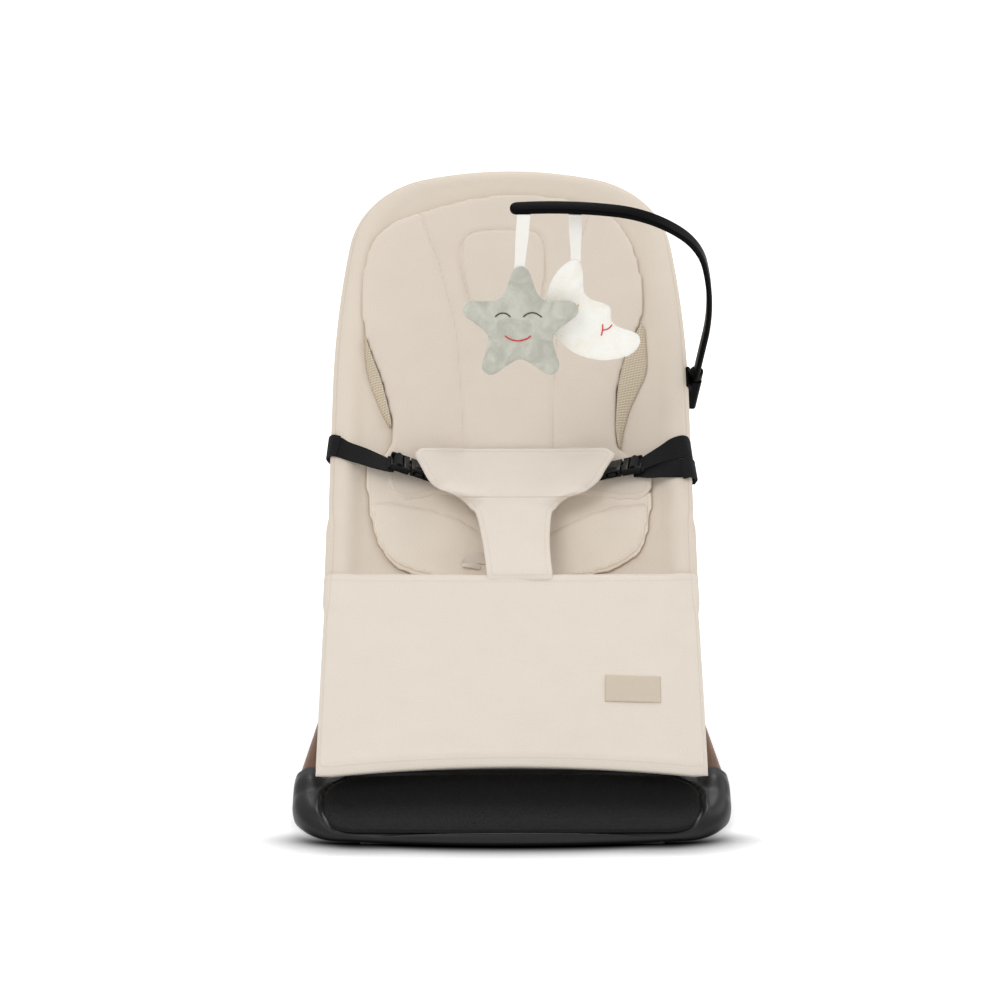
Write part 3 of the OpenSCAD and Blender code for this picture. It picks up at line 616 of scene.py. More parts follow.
cadFinishes = {  # a star stands for left and right
    "footShell": "front_foot front_foot_cover rear_foot", "footPad": "front_foot_pad",
    "gripRubber": "front_grips rear_grips", "walnut": "*_rail", "blackTube": "spring_frame leg_hoop back_hoop",
    "zinc": "cover_screws rail_screws hub_screws *_pivot_pin", "springWire": "*_torsion_spring *_button_spring",
    "hubPlastic": "*_leg_hub *_back_hub", "buttonPlastic": "*_lock_button", "barPlastic": "toy_bar_clip toy_bar",
    "bucklePlastic": "*_buckle_socket *_buckle_plug *_upper_prong *_lower_prong", "webbing": "*_strap *_strap_tail",
    "ribbon": "star_ribbon moon_ribbon star_loop moon_loop", "starPlush": "star", "moonPlush": "moon",
    "legCloth": "leg_cover", "labelCloth": "leg_cover_tab", "backCloth": "back_cover",
    "insertCloth": "infant_insert head_pad", "seatCloth": "seat_pad", "waistCloth": "waist_panel"}
for finish, names in cadFinishes.items():
    for nodeName in names.split():
        for side in ("left", "right") if "*" in nodeName else ("",):
            paint(nodes[nodeName.replace("*", side)], finishes[finish])
print("finishes mixed")


# camera, lights and floor

cameraSet = {"y": -2.525, "z": 1.0, "tilt": 16.6, "turn": -0.2, "lens": 88.2, "shiftX": -0.011, "shiftY": 0.010,
             "near": 0.05}
c, s = cosSin(cameraSet["turn"])
bpy.ops.object.camera_add(
    location=(-cameraSet["y"] * s, cameraSet["y"] * c, cameraSet["z"]),
    rotation=(rad(90 - cameraSet["tilt"]), 0, rad(cameraSet["turn"])))
camera = named("camera")
camera.data.lens = cameraSet["lens"]
camera.data.shift_x, camera.data.shift_y = cameraSet["shiftX"], cameraSet["shiftY"]
camera.data.clip_start = cameraSet["near"]
bpy.context.scene.camera = camera
bpy.context.scene.view_settings.view_transform = "Standard"

lightSet = {"world": 0.66, "floor": 0.8, "floorLift": 0.7, "floorBounce": 0.3, "shadowReach": 0.1, "shadowDepth": 11,
            "frontEdge": -0.315, "underneath": -0.28, "fade": 0.8, "floorSize": 60}
lamps = {"keyLamp": ((-1.2, -1.6, 2.4), (0, 0, 0.25), 19, 1.8), "frontLamp": ((0.8, -2.6, 1.0), (0, 0, 0.3), 4, 1.6),
         "sideLamp": ((2.0, 0.6, 1.6), (0, 0, 0.3), 8, 1.4), "rearLamp": ((0.1, 1.5, 2.3), (0, -0.3, 0), 18, 1.0)}
for name, (place, aim, power, size) in lamps.items():
    clearSelection()
    bpy.ops.object.light_add(type="AREA", location=place)
    lamp = named(name)
    lamp.data.shape = "DISK"
    lamp.data.size = size
    lamp.data.energy = power
    lamp.rotation_euler = (Vector(aim) - Vector(place)).to_track_quat("-Z", "Y").to_euler()

sky = Recipe("studio", world=True)
bpy.context.scene.world = sky.material
sight = sky.put("LightPath", out="Is Camera Ray")
through = sky.put("LightPath", out="Is Transmission Ray")
level = sky.put("MapRange", None, {"Value": sight.maths("MAXIMUM", sight, through), "To Min": lightSet["world"],
                                   "To Max": 1.0})
sky.put("OutputWorld", None, {"Surface": sky.put("Background", None, {"Color": (1, 1, 1, 1), "Strength": level})})


def floorFinish():
    r = Recipe("paleFloor")
    sight = r.put("LightPath", out="Is Camera Ray")
    glossy = r.put("LightPath", out="Is Glossy Ray")
    # ambient occlusion darkens the floor's colour and its glow: a painted contact shadow, weaker behind the foot's
    # front edge
    near = r.put("AmbientOcclusion", {"samples": 64}, {"Distance": lightSet["shadowReach"]}, "AO")
    _, y, _ = r.split(r.spot())
    behind = y.within(lightSet["frontEdge"], lightSet["underneath"]) * lightSet["fade"]
    near = 1 - (1 - near ** lightSet["shadowDepth"]) * (1 - behind)  # darkest along the front foot
    matt = r.put("BsdfDiffuse", None, {"Color": near * lightSet["floor"]})
    lift = r.put("Emission", None, {"Color": near,
                                    "Strength": sight.maths("MAXIMUM", sight, glossy)
                                    * (lightSet["floorLift"] - lightSet["floorBounce"]) + lightSet["floorBounce"]})
    r.put("OutputMaterial", None, {"Surface": r.put("AddShader", None, {0: matt, 1: lift})})
    return r.material


clearSelection()
bpy.ops.mesh.primitive_plane_add(size=lightSet["floorSize"], location=(0, 0, cadBox[0][2]))
floor = paint(settle(named("floor")), floorFinish())
print("camera, lamps and floor placed")


# sewn covers: a front sheet whose edge goes round the tube

coverSet = {"thick": 1.2, "wrapR": 9.5, "hubR": 11.2, "turnIn": 100, "hem": 20, "inner": 44, "wrapCols": 16,
            "channel": -5, "hubDrop": 13, "flapRise": 0.22, "wrapStep": 2.6, "spread": 0.9, "rise": 0.86,
            "merge": 2e-5, "uneven": 1.3, "hubFrom": 52, "hubTo": 66, "openFrom": 46, "openTo": 74}


def rimPoint(a, radius, crisp):  # round the tube: crisp 1 is a circle, less is squarer
    return (math.copysign(abs(math.cos(a)) ** crisp, math.cos(a)) * radius,
            math.copysign(abs(math.sin(a)) ** crisp, math.sin(a)) * radius)


lip = [(0, -1.65, 9.36), (0.2, 5.5, 7.7), (0.3, 9.2, 6), (0.36, 10.6, 4.8), (0.42, 10.6, 3.5), (0.6, 8.4, -1.5),
       (0.8, 3.5, -9), (0.9, -2, -9.4), (1, -17, -5)]  # the leg cover's bottom edge: t, out, up


def lipPoint(t):
    for (a, outA, upA), (b, outB, upB) in zip(lip, lip[1:]):
        if t <= b:
            return lerp(outA, outB, (t - a) / (b - a)), lerp(upA, upB, (t - a) / (b - a))
    return lip[-1][1:]


def wrapPoint(t, radius, morph, crisp):  # out of the tube's line and above it: morph 1 wraps it, 0 hangs by the hub
    bend = rad(coverSet["turnIn"])
    arc = radius * (bend + math.pi / 2)
    far = t * (arc + coverSet["hem"])
    if far <= arc:
        a = bend - far / radius
        full = rimPoint(a, radius, crisp)
    else:
        full = (-(far - arc), -radius + (far - arc) * coverSet["flapRise"])
    far = t * (radius * bend + coverSet["hubDrop"])
    if far <= radius * bend:
        a = bend - far / radius
        hung = rimPoint(a, radius, crisp)
    else:
        hung = (radius, radius * bend - far)
    return lerp(hung[0], full[0], morph), lerp(hung[1], full[1], morph)


def stitchMarks(piece, seamGap, hemGap=None):  # distances in metres from the seams and the hems, one per point
    for name, gap in (("seam", seamGap), ("hem", hemGap)):
        layer = piece.data.attributes.new(name, "FLOAT", "POINT")
        layer.data.foreach_set("value", gap or [1.0] * len(piece.data.vertices))


# line holds (x, v, heading) up the right half from the spine or a free edge, feet where each row meets the middle,
# and height(r, x, v) the sag. The left half is its mirror image.
def sleeveSheet(name, line, feet, height, radiusAt, morphAt, toWorld, hemAt, crisp=1, mitre=0):
    inner, wrap = coverSet["inner"], coverSet["wrapCols"]
    half = inner + wrap
    rows = len(line) - 1
    turn = rad(coverSet["turnIn"])

    def spot(i, j):  # its place, its place on the flat cloth, and its distance from the channel seam
        x, v, heading = line[i]
        nx, nv = math.cos(rad(heading)), -math.sin(rad(heading))
        radius, morph = radiusAt(v), morphAt(v)
        squared = lerp(1, 1 / max(abs(nx), abs(nv)), mitre)
        if j <= inner:
            r = (j / inner) ** coverSet["spread"]
            inwards, raised = rimPoint(turn, radius, crisp)
            qx, qv = x + nx * inwards, v + nv * inwards
            px, pv = qx * r, lerp(feet[i], qv, r)
            h = lerp(height(r, px, pv), raised, ease(coverSet["rise"], 1, r))
            return (px, pv, h), (px, pv), (1 - r) * math.hypot(qx, qv - feet[i]) - coverSet["channel"]
        out, up = wrapPoint((j - inner) / wrap, radius, morph, crisp)
        past = (j - inner) * coverSet["wrapStep"]
        if mitre:
            share = ease(0.4, 0.9, -nv)
            lipOut, lipUp = lipPoint((j - inner) / wrap)
            out, up = lerp(out, lipOut, share), lerp(up, lipUp, share)
            out *= squared if out > 0 else 1
        return (x + nx * out, v + nv * out, up), (x + nx * past, v + nv * past), -coverSet["channel"] - past

    table = [[spot(i, j) for j in range(half + 1)] for i in range(rows + 1)]

    def cell(u, w):
        k = round(u * 2 * half) - half
        return (1 if k >= 0 else -1), table[round(w * rows)][abs(k)]

    def place(u, w):
        side, spotted = cell(u, w)
        x, v, h = spotted[0]
        return toWorld(side * x, v, h)

    def cloth(u, w):
        side, spotted = cell(u, w)
        return side * spotted[1][0] / 1000, spotted[1][1] / 1000

    piece = gridOf(name, 2 * half, rows, place, cloth)
    seam, hem = [], []
    for k in range(len(piece.data.vertices)):
        row, column = divmod(k, 2 * half + 1)
        _, flat, gap = table[row][abs(column - half)]
        seam.append(gap / 1000)
        hem.append(hemAt(flat[0], flat[1], gap) / 1000)
    stitchMarks(piece, seam, hem)
    return piece


def sheetArea(piece):
    return sum(face.area for face in piece.data.polygons)


leastShare = 0.3


def fillOf(area, wide, long):  # a sheet's area, kept to what its flat rectangle allows
    return min(max(area, leastShare * wide * long), wide * long)


def finishSheet(piece, thick, material):  # merged along the middle, given its thickness and smoothed
    editAll(piece, (bpy.ops.mesh.remove_doubles, {"threshold": coverSet["merge"]}))
    area = sheetArea(piece)
    modify(piece, "SOLIDIFY", thickness=thick / 1000, offset=-1, use_even_offset=False)
    smooth(paint(piece, material))
    return area


def ripple(x, v, size, seedling):  # a soft unevenness, from -1 to 1
    return noise.noise(Vector((x / size, v / size * 0.8, seedling)))


def backSag(r, x, v):
    return slingAt(r, v) + coverSet["uneven"] * ripple(x, v, 55, 3.1) * (1 - r ** 4)


backCover = sleeveSheet(
    "backCover", hoopLine, [fanFoot(v) for _, v, _ in hoopLine], backSag,
    lambda v: lerp(coverSet["hubR"], coverSet["wrapR"], ease(coverSet["hubFrom"], coverSet["hubTo"], v)),
    lambda v: ease(coverSet["openFrom"], coverSet["openTo"], v), onBack, lambda x, v, gap: 1000)
backArea = finishSheet(backCover, coverSet["thick"], finishes["backCloth"])
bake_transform(attach(backCover, None, ["back_cover"]), "seat", "back",
         start=onBack(0, -20, 0), end=onBack(0, 60, 0))
print("back cover sewn", round(backArea, 3))


legSet = {"top": -13.5, "straight": 40.5, "turn": 0.25, "turnR": 300, "side": 193.2, "cornerR": 5, "lean": 6.65,
          "bowR": 1600, "step": 5.2, "fan": 130, "fanDrop": 70, "rim": 9.4, "sag": 1.2, "hemDown": 9, "uneven": 0.9,
          "fine": 0.5}
legLine = walk(seat["tubeX"], legSet["top"], 180, [
    (legSet["straight"], 0), (legSet["turn"], legSet["turnR"]), (legSet["side"], 0),
    (90 + legSet["lean"] - legSet["turn"], legSet["cornerR"]), (legSet["lean"], -legSet["bowR"])],
    legSet["step"])
legLine[-1] = (0.0, legLine[-1][1], legLine[-1][2])
legGone = lengthsOf(legLine)
legFeet = []
for gone in legGone:
    share = max(0, gone - legSet["fan"]) / (legGone[-1] - legSet["fan"])
    legFeet.append(legSet["top"] - min(gone, legSet["fan"]) - share * legSet["fanDrop"])


def legSag(r, x, v):
    soft = legSet["uneven"] * ripple(x, v, 62, 8.4)
    soft += legSet["fine"] * ripple(x * 0.5 + v * 0.4, v - x * 0.3, 22, 1.7)
    return legSet["rim"] - legSet["sag"] * (1 - r ** 2) + soft * (1 - r ** 6)


legCover = sleeveSheet(
    "legCover", [(x, v, heading - 180) for x, v, heading in legLine][::-1], legFeet[::-1], legSag,
    lambda v: lerp(coverSet["wrapR"], coverSet["hubR"], ease(-coverSet["hubTo"], -coverSet["hubFrom"], v)),
    lambda v: ease(-coverSet["openFrom"], -coverSet["openTo"], v), onLeg,
    lambda x, v, gap: v - legSet["top"] + legSet["hemDown"], crisp=0.7, mitre=1.25)
legArea = finishSheet(legCover, coverSet["thick"], finishes["legCloth"])
attach(legCover, "seat", ["leg_cover"])
print("leg cover sewn", round(legArea, 3))


# padded pieces: cut flat, blown up in a cloth simulation, then laid on what is under them

def treeOf(lines):  # finds the nearest point of some lines in millimetres
    spots = [p for line in lines for p in line]
    tree = KDTree(len(spots))
    for k, p in enumerate(spots):
        tree.insert((p[0], p[1], 0), k)
    tree.balance()
    return lambda x, v: tree.find((x, v, 0))[2]


swellSet = {"ticks": 20, "quality": 4, "mass": 0.2, "stiff": 12, "bend": 0.3, "pinned": 0.92, "quickShare": 0.8,
            "quickReach": 12}


def spotsOf(piece):  # each point's (x, v) on its plane, in millimetres
    return [(vert.co.x * 1000, vert.co.y * 1000) for vert in piece.data.vertices]


def stuffed(name, outline, thick, cap, voxel=4.5, pins=(), pinReach=3.0, pressure=4.0, both=False):
    rim = roundPath(outline, closed=True, step=3)
    n = len(rim)
    corners = [(x / 1000, v / 1000, 0) for x, v in rim] + [(x / 1000, v / 1000, thick / 1000) for x, v in rim]
    piece = outward(meshOf(name, corners, [list(range(n))[::-1], list(range(n, 2 * n))] + ringFaces(2, n)))
    modify(piece, "REMESH", mode="VOXEL", voxel_size=voxel / 1000)
    toRim = treeOf([rim + rim[:1]])
    toPins = treeOf(pins) if pins else lambda x, v: 1e6
    verts = piece.data.vertices
    before = [vert.co.copy() for vert in verts]
    hold = piece.vertex_groups.new(name="hold")
    for k, old in enumerate(before):
        x, v = old.x * 1000, old.y * 1000
        edge = toRim(x, v) < voxel * 0.8
        under = not both and old.z < thick / 2000
        if edge or under or toPins(x, v) < pinReach:
            hold.add([k], 1.0 if edge or under else swellSet["pinned"], "REPLACE")
    pick(piece)
    cloth = piece.modifiers.new("swell", "CLOTH")
    cloth.settings.quality = swellSet["quality"]
    cloth.settings.mass = swellSet["mass"]
    cloth.settings.use_pressure = True
    cloth.settings.uniform_pressure_force = pressure
    cloth.settings.vertex_group_mass = "hold"
    cloth.settings.effector_weights.gravity = 0
    cloth.settings.tension_stiffness = cloth.settings.compression_stiffness = swellSet["stiff"]
    cloth.settings.bending_stiffness = swellSet["bend"]
    cloth.point_cache.frame_start, cloth.point_cache.frame_end = 1, swellSet["ticks"]
    for tick in range(1, swellSet["ticks"] + 1):
        bpy.context.scene.frame_set(tick)
    bpy.ops.object.modifier_apply(modifier="swell")
    bpy.context.scene.frame_set(1)
    for vert, old in zip(verts, before):  # no point moves further than the cap
        move = vert.co - old
        far = move.length * 1000
        if far > 0.01:
            vert.co = old + move * (cap * (1 - math.exp(-far / cap)) / far)
    piece.vertex_groups.clear()
    modify(piece, "SMOOTH", factor=0.5, iterations=3)
    modify(piece, "SUBSURF", levels=1, render_levels=1)
    return piece, toRim


def flatCloth(piece, turn=0):  # the weave lies as on the flat cloth
    layer = piece.data.uv_layers.new(name="cloth")
    c, s = cosSin(turn)
    spots = [(vert.co.x * c - vert.co.y * s, vert.co.x * s + vert.co.y * c) for vert in piece.data.vertices]
    for loop in piece.data.loops:
        layer.data[loop.index].uv = spots[loop.vertex_index]


def layOn(piece, under, lift=0.0):  # under(x, v) is the height of what it lies on, in millimetres
    for vert in piece.data.vertices:
        vert.co.z += (under(vert.co.x * 1000, vert.co.y * 1000) + lift) / 1000


def surfaceOf(piece):  # for finding where a ray meets it
    shape = piece.data
    return BVHTree.FromPolygons([vert.co.copy() for vert in shape.vertices],
                                [list(face.vertices) for face in shape.polygons])


def topOf(piece, otherwise):  # the height of a piece's upper side at (x, v)
    tree = surfaceOf(piece)

    def height(x, v):
        hit = tree.ray_cast(Vector((x / 1000, v / 1000, 0.3)), Vector((0, 0, -1)))[0]
        return hit.z * 1000 if hit else otherwise(x, v)
    return height


def raiseTo(piece, toWorld):  # from the flat plane to its place
    for vert in piece.data.vertices:
        vert.co = toWorld(vert.co.x * 1000, vert.co.y * 1000, vert.co.z * 1000)
    piece.data.update()
    outward(piece)
    return smooth(piece)


insertSet = {"thick": 7, "cap": 8, "lift": 1.4, "seamDepth": 1.6, "seamWidth": 2.6, "flap": 3.2, "flapFrom": 150,
             "flapTo": 112, "uneven": 0.9, "hem": 7, "hemTop": 130, "unmarked": 0.05}
insertOutline = [(-13, 478), (45, 476), (102, 461), (132, 428), (146, 386), (151, 345), (147, 313), (131, 271),
                 (122, 239), (118.5, 207), (117.5, 180), (121, 161), (134, 148), (150, 137), (155, 118), (151, 97),
                 (130, 95), (87, 108), (40, 112), (0, 113), (-45, 111), (-78, 111), (-112, 99), (-130, 104),
                 (-137, 124), (-142, 143), (-133, 163), (-132, 188), (-137, 209), (-144, 235), (-152.5, 258),
                 (-162, 284), (-167, 315), (-168, 350), (-165, 387), (-155, 417), (-134, 440), (-104, 455),
                 (-60, 470)]
leftSeam = roundPath([(-104, 453), (-96, 430), (-81, 391), (-71, 350), (-63, 317), (-58, 268), (-55, 220), (-52, 160),
                      (-51, 140)], step=1.5)
rightSeam = roundPath([(92, 458), (84, 430), (70, 391), (60, 350), (54, 317), (50, 268), (48, 220), (47, 160),
                       (47, 140)], step=1.5)
headRim = roundPath([(-56, 385), (-57, 412), (-48, 428), (-28, 434), (8, 435), (28, 432), (38, 420), (40, 396),
                     (39, 360), (32, 338), (14, 331), (-10, 329), (-34, 332), (-46, 345)], closed=True, step=1.5)

insert, insertEdge = stuffed("infantInsert", insertOutline, insertSet["thick"], insertSet["cap"],
                             pins=[leftSeam, rightSeam], pinReach=2.2)
layOn(insert, coverHeight, insertSet["lift"])
flatCloth(insert)
insertLines = treeOf([leftSeam, rightSeam, headRim + headRim[:1]])
seamGap, hemGap = [], []
for vert in insert.data.vertices:
    x, v = vert.co.x * 1000, vert.co.y * 1000
    gap, edge = insertLines(x, v), insertEdge(x, v)
    top = vert.co.z * 1000 > coverHeight(x, v) + insertSet["thick"] * 0.6
    if top:
        vert.co.z -= insertSet["seamDepth"] * math.exp(-(gap / insertSet["seamWidth"]) ** 2) / 1000
        vert.co.z += insertSet["uneven"] * ripple(x, v, 34, 5.5) * min(1, edge / 20) / 1000
    raised = 1 - ease(insertSet["flapTo"], insertSet["flapFrom"], v)  # the lower flap lies over the cushion
    vert.co.z += insertSet["flap"] * raised / 1000
    seamGap.append(gap / 1000 if top else insertSet["unmarked"])
    hemGap.append((edge - insertSet["hem"]) / 1000 if top and v < insertSet["hemTop"] else insertSet["unmarked"])
stitchMarks(insert, seamGap, hemGap)
insertTop = topOf(insert, coverHeight)
print("infant insert stuffed")

headSet = {"thick": 3, "cap": 3.5, "sink": 1.2, "scale": 0.985, "up": 5.7}
headPad, headEdge = stuffed("headPad", [(x * headSet["scale"], v * headSet["scale"] + headSet["up"])
                                        for x, v in headRim[::8]], headSet["thick"], headSet["cap"], voxel=3)
layOn(headPad, insertTop, -headSet["sink"])
flatCloth(headPad)
stitchMarks(headPad, [headEdge(x, v) / 1000 + 0.0004 for x, v in spotsOf(headPad)])
paint(raiseTo(headPad, onBack), finishes["insertCloth"])
attach(headPad, "back", ["head_pad"])
print("head pad stuffed")


def ribSheet(name, inner, outer, rows, across, heightAt):  # a strip between two edges given as (x, v) lines
    a, b = roundPath(inner, step=0.5), roundPath(outer, step=0.5)

    def spot(u, w):
        p, q = a[round(w * (len(a) - 1))], b[round(w * (len(b) - 1))]
        return lerp(p[0], q[0], u), lerp(p[1], q[1], u)

    def place(u, w):
        x, v = spot(u, w)
        return Vector((x / 1000, v / 1000, heightAt(x, v, u) / 1000))

    def cloth(u, w):
        x, v = spot(u, w)
        return x / 1000, v / 1000
    return gridOf(name, across, rows, place, cloth)


netSet = {"rows": 60, "across": 8, "high": 9.5, "low": 1.6, "belly": 1.5, "thick": 0.8, "flat": (0.026, 0.16)}
netEdges = {
    "left": ([(-132, 184), (-134.5, 200), (-139, 218), (-145, 239), (-153, 260), (-161.5, 284)],
             [(-134, 184), (-142, 198), (-149, 214), (-157, 235), (-161.5, 257), (-163.5, 284)]),
    "right": ([(119, 160), (116.5, 182), (117.5, 207), (121, 239), (130, 271), (146.5, 306)],
              [(121, 160), (126, 184), (133, 207), (143, 228), (152, 252), (151.5, 300)])}


def netHeight(x, v, u):
    return coverHeight(x, v) + lerp(netSet["high"], netSet["low"], u) + netSet["belly"] * math.sin(u * math.pi)


for side, (inner, outer) in netEdges.items():
    net = ribSheet(side + "Net", inner, outer, netSet["rows"], netSet["across"], netHeight)
    area = sheetArea(net)
    modify(net, "SOLIDIFY", thickness=netSet["thick"] / 1000, offset=0)
    attach(paint(raiseTo(net, onBack), finishes["netCloth"]), "back")
    fillOf(area, *netSet["flat"])

paint(raiseTo(insert, onBack), finishes["insertCloth"])
attach(insert, "back", ["infant_insert"])
print("mesh sides sewn in")


# the label patch, bare

labelSet = {"x": 124, "v": -162, "wide": 57, "high": 33, "turn": -2.0, "lift": 10.3, "thick": 0.9, "edgeDrop": 0.9,
            "edgeReach": 0.8, "flat": (0.057, 0.033)}


def labelPlace(u, w):
    x, y = (u - 0.5) * labelSet["wide"], (w - 0.5) * labelSet["high"]
    c, s = cosSin(labelSet["turn"])
    edge = min(u, 1 - u, (w if w < 0.5 else 1 - w) * labelSet["high"] / labelSet["wide"]) * labelSet["wide"]
    return onLeg(labelSet["x"] + x * c - y * s, labelSet["v"] + x * s + y * c,
                 labelSet["lift"] - labelSet["edgeDrop"] * math.exp(-edge / labelSet["edgeReach"]))


label = gridOf("labelPatch", 60, 36, labelPlace,
               lambda u, w: (u * labelSet["wide"] / 1000, w * labelSet["high"] / 1000))
labelArea = sheetArea(label)
modify(label, "SOLIDIFY", thickness=labelSet["thick"] / 1000, offset=-1)
smooth(paint(label, finishes["labelCloth"]))
fillOf(labelArea, *labelSet["flat"])
attach(label, "seat", ["leg_cover_tab"])
print("label sewn on")


# the seat cushion: a soft shell with two lobes on it

shellOutline = [(-153, 140), (-158, 118), (-156, 84), (-151, 62), (-142, 36), (-121, 13), (-68, 2), (0, 1), (50, 4),
                (88, 9), (119, 17), (141, 33), (150, 60), (154, 90), (150, 104), (120, 118), (60, 122), (0, 122),
                (-60, 122), (-110, 130)]
lobeOutlines = {
    "left": [(-152, 85), (-138, 92), (-110, 93), (-82, 92), (-56, 84), (-28, 66), (-8, 46), (-2, 24), (-6, 8),
             (-40, 5), (-72, 6), (-119, 16), (-141, 38), (-149.5, 62)],
    "right": [(150, 84), (134, 91), (104, 92), (84, 88), (60, 78), (34, 62), (12, 44), (4, 24), (8, 7), (48, 7),
              (87, 11.5), (116, 19.5), (139.5, 35.5), (147.5, 61)]}
seatSet = {"thick": 6, "cap": 7, "lift": 1.4, "hem": 5, "lobeThick": 5, "lobeCap": 9, "sink": 2.5,
           "lobeHem": 4.5, "lobeTurn": 28, "crease": 1.1}

shell, shellEdge = stuffed("seatShell", shellOutline, seatSet["thick"], seatSet["cap"])
layOn(shell, coverHeight, seatSet["lift"])
flatCloth(shell)
stitchMarks(shell, None, [(shellEdge(x, v) - seatSet["hem"]) / 1000 for x, v in spotsOf(shell)])
shellTop = topOf(shell, coverHeight)
# the seat cushion's cloth is painted lighter than the insert's, as painted light against the hollow's shade
paint(raiseTo(shell, onBack), finishes["seatCloth"])
attach(shell, "back", ["seat_pad"])
for side, outline in lobeOutlines.items():
    lobe, lobeEdge = stuffed(side + "Lobe", outline, seatSet["lobeThick"], seatSet["lobeCap"], voxel=4)
    layOn(lobe, shellTop, -seatSet["sink"])
    if side == "left":
        lobeTop = topOf(lobe, shellTop)
    flatCloth(lobe, seatSet["lobeTurn"] if side == "left" else -seatSet["lobeTurn"])
    edges = [lobeEdge(x, v) for x, v in spotsOf(lobe)]
    # the seam mark puts a darker line along each lobe's edge: painted shade where the lobe meets the shell
    stitchMarks(lobe, [edge / 1000 for edge in edges], [(edge - seatSet["lobeHem"]) / 1000 for edge in edges])
    for vert, (x, v), edge in zip(lobe.data.vertices, spotsOf(lobe), edges):  # creases run out from the crotch
        crease = seatSet["crease"] * ripple(abs(x) * 0.55 + v * 0.8, v * 0.3, 24, 9.2)
        vert.co.z += (crease * min(1, edge / 12)) / 1000
    paint(raiseTo(lobe, onBack), finishes["seatCloth"])
    attach(lobe, "back")
print("seat cushion stuffed")


# the waist belt and crotch strap, cut in one piece: rows of (v, h, left, right) down its front

teeRows = [(165, -32.6, -99.8, 105.3), (157.5, -33.2, -105, 114), (148, -34, -100.4, 108.5), (139, -34.3, -96, 103),
           (127, -34, -90, 97), (116.6, -32.4, -81.5, 88), (108, -29.6, -66, 77), (102, -27.6, -58, 64.5),
           (96, -25.2, -52.5, 57.5), (89.7, -22.8, -47.6, 52), (84, -20.6, -43.5, 48.8), (79.2, -18.8, -39.2, 45.2),
           (67.2, -14.6, -35.8, 43.4), (49.4, -8.4, -32.9, 42.1), (30.3, -1.8, -30, 41.8), (8.5, 6.2, -27.7, 42.6),
           (-4, 11.4, -26.6, 43.4), (-12.5, 13.4, -26, 44), (-18.5, 12.2, -25.4, 44.5)]
teeSet = {"across": 56, "step": 2.6, "thick": 2.2, "hem": 5.5, "above": 3.4, "cross": 101.5, "lift": 3,
          "edgeLift": 17, "bottom": -18.5, "free": (72, 118), "pull": (87, 111), "pullEdge": (0.4, 0.86),
          "uneven": 0.7, "ahead": 0.518, "edgeRoll": 1.3, "rollReach": 2.0, "slant": 0.75, "slantFrom": 80,
          "flat": (0.228, 0.21)}
teeLine = roundPath(teeRows, step=teeSet["step"])
teeCount = len(teeLine) - 1


def teePoint(u, w):
    v, h, left, right = teeLine[round((1 - w) * teeCount)]
    x = lerp(left, right, u)
    over = ease(*teeSet["free"], v)
    rest = insertTop(x, v) + teeSet["above"]
    taut = h + (coverHeight(x, max(v, 104)) - coverHeight(0, max(v, 104))) * 0.25
    outer = teeSet["edgeLift"] * ease(*teeSet["pullEdge"], abs(2 * u - 1))
    pulled = ease(*teeSet["pull"], v) * (teeSet["lift"] + outer)  # over the buckles
    uneven = teeSet["uneven"] * ripple(x, v, 26, 4.4) * (1 - over * 0.3)
    height = lerp(taut, max(rest, h), over) + uneven + pulled
    return x, v - teeSet["ahead"] * (height - lerp(taut, h, over)), height


def teePlace(u, w):
    x, v, h = teePoint(u, w)
    left, right = teeLine[round((1 - w) * teeCount)][2:]
    edge = min(u, 1 - u) * (right - left)
    return onBack(x, v, h - teeSet["edgeRoll"] * math.exp(-edge / teeSet["rollReach"]))


teeGone = lengthsOf(teeLine)


def teeCloth(u, w):
    k = round((1 - w) * teeCount)
    return lerp(teeLine[k][2], teeLine[k][3], u) / 1000, -teeGone[k] / 1000


tee = gridOf("waistPanel", teeSet["across"], teeCount, teePlace, teeCloth)
seamGap, hemGap = [], []
for k in range(len(tee.data.vertices)):
    row, column = divmod(k, teeSet["across"] + 1)
    v, h, left, right = teeLine[teeCount - row]
    slant = 1.0 if v < teeSet["slantFrom"] else teeSet["slant"]
    side = min(column, teeSet["across"] - column) / teeSet["across"] * (right - left) * slant
    seamGap.append((v - teeSet["cross"]) / 1000)
    hemGap.append((min(side, max(0.0, teeRows[0][0] - v) + 2, v - teeSet["bottom"]) - teeSet["hem"]) / 1000)
stitchMarks(tee, seamGap, hemGap)
modify(tee, "SOLIDIFY", thickness=teeSet["thick"] / 1000, offset=-1)
smooth(paint(tee, finishes["waistCloth"]))
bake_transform(attach(tee, None, ["waist_panel"]), "seat", "back",
         start=onBack(0, -5, 12), end=onBack(0, 100, -28))


# plush toys: two faces sewn round the rim and stuffed

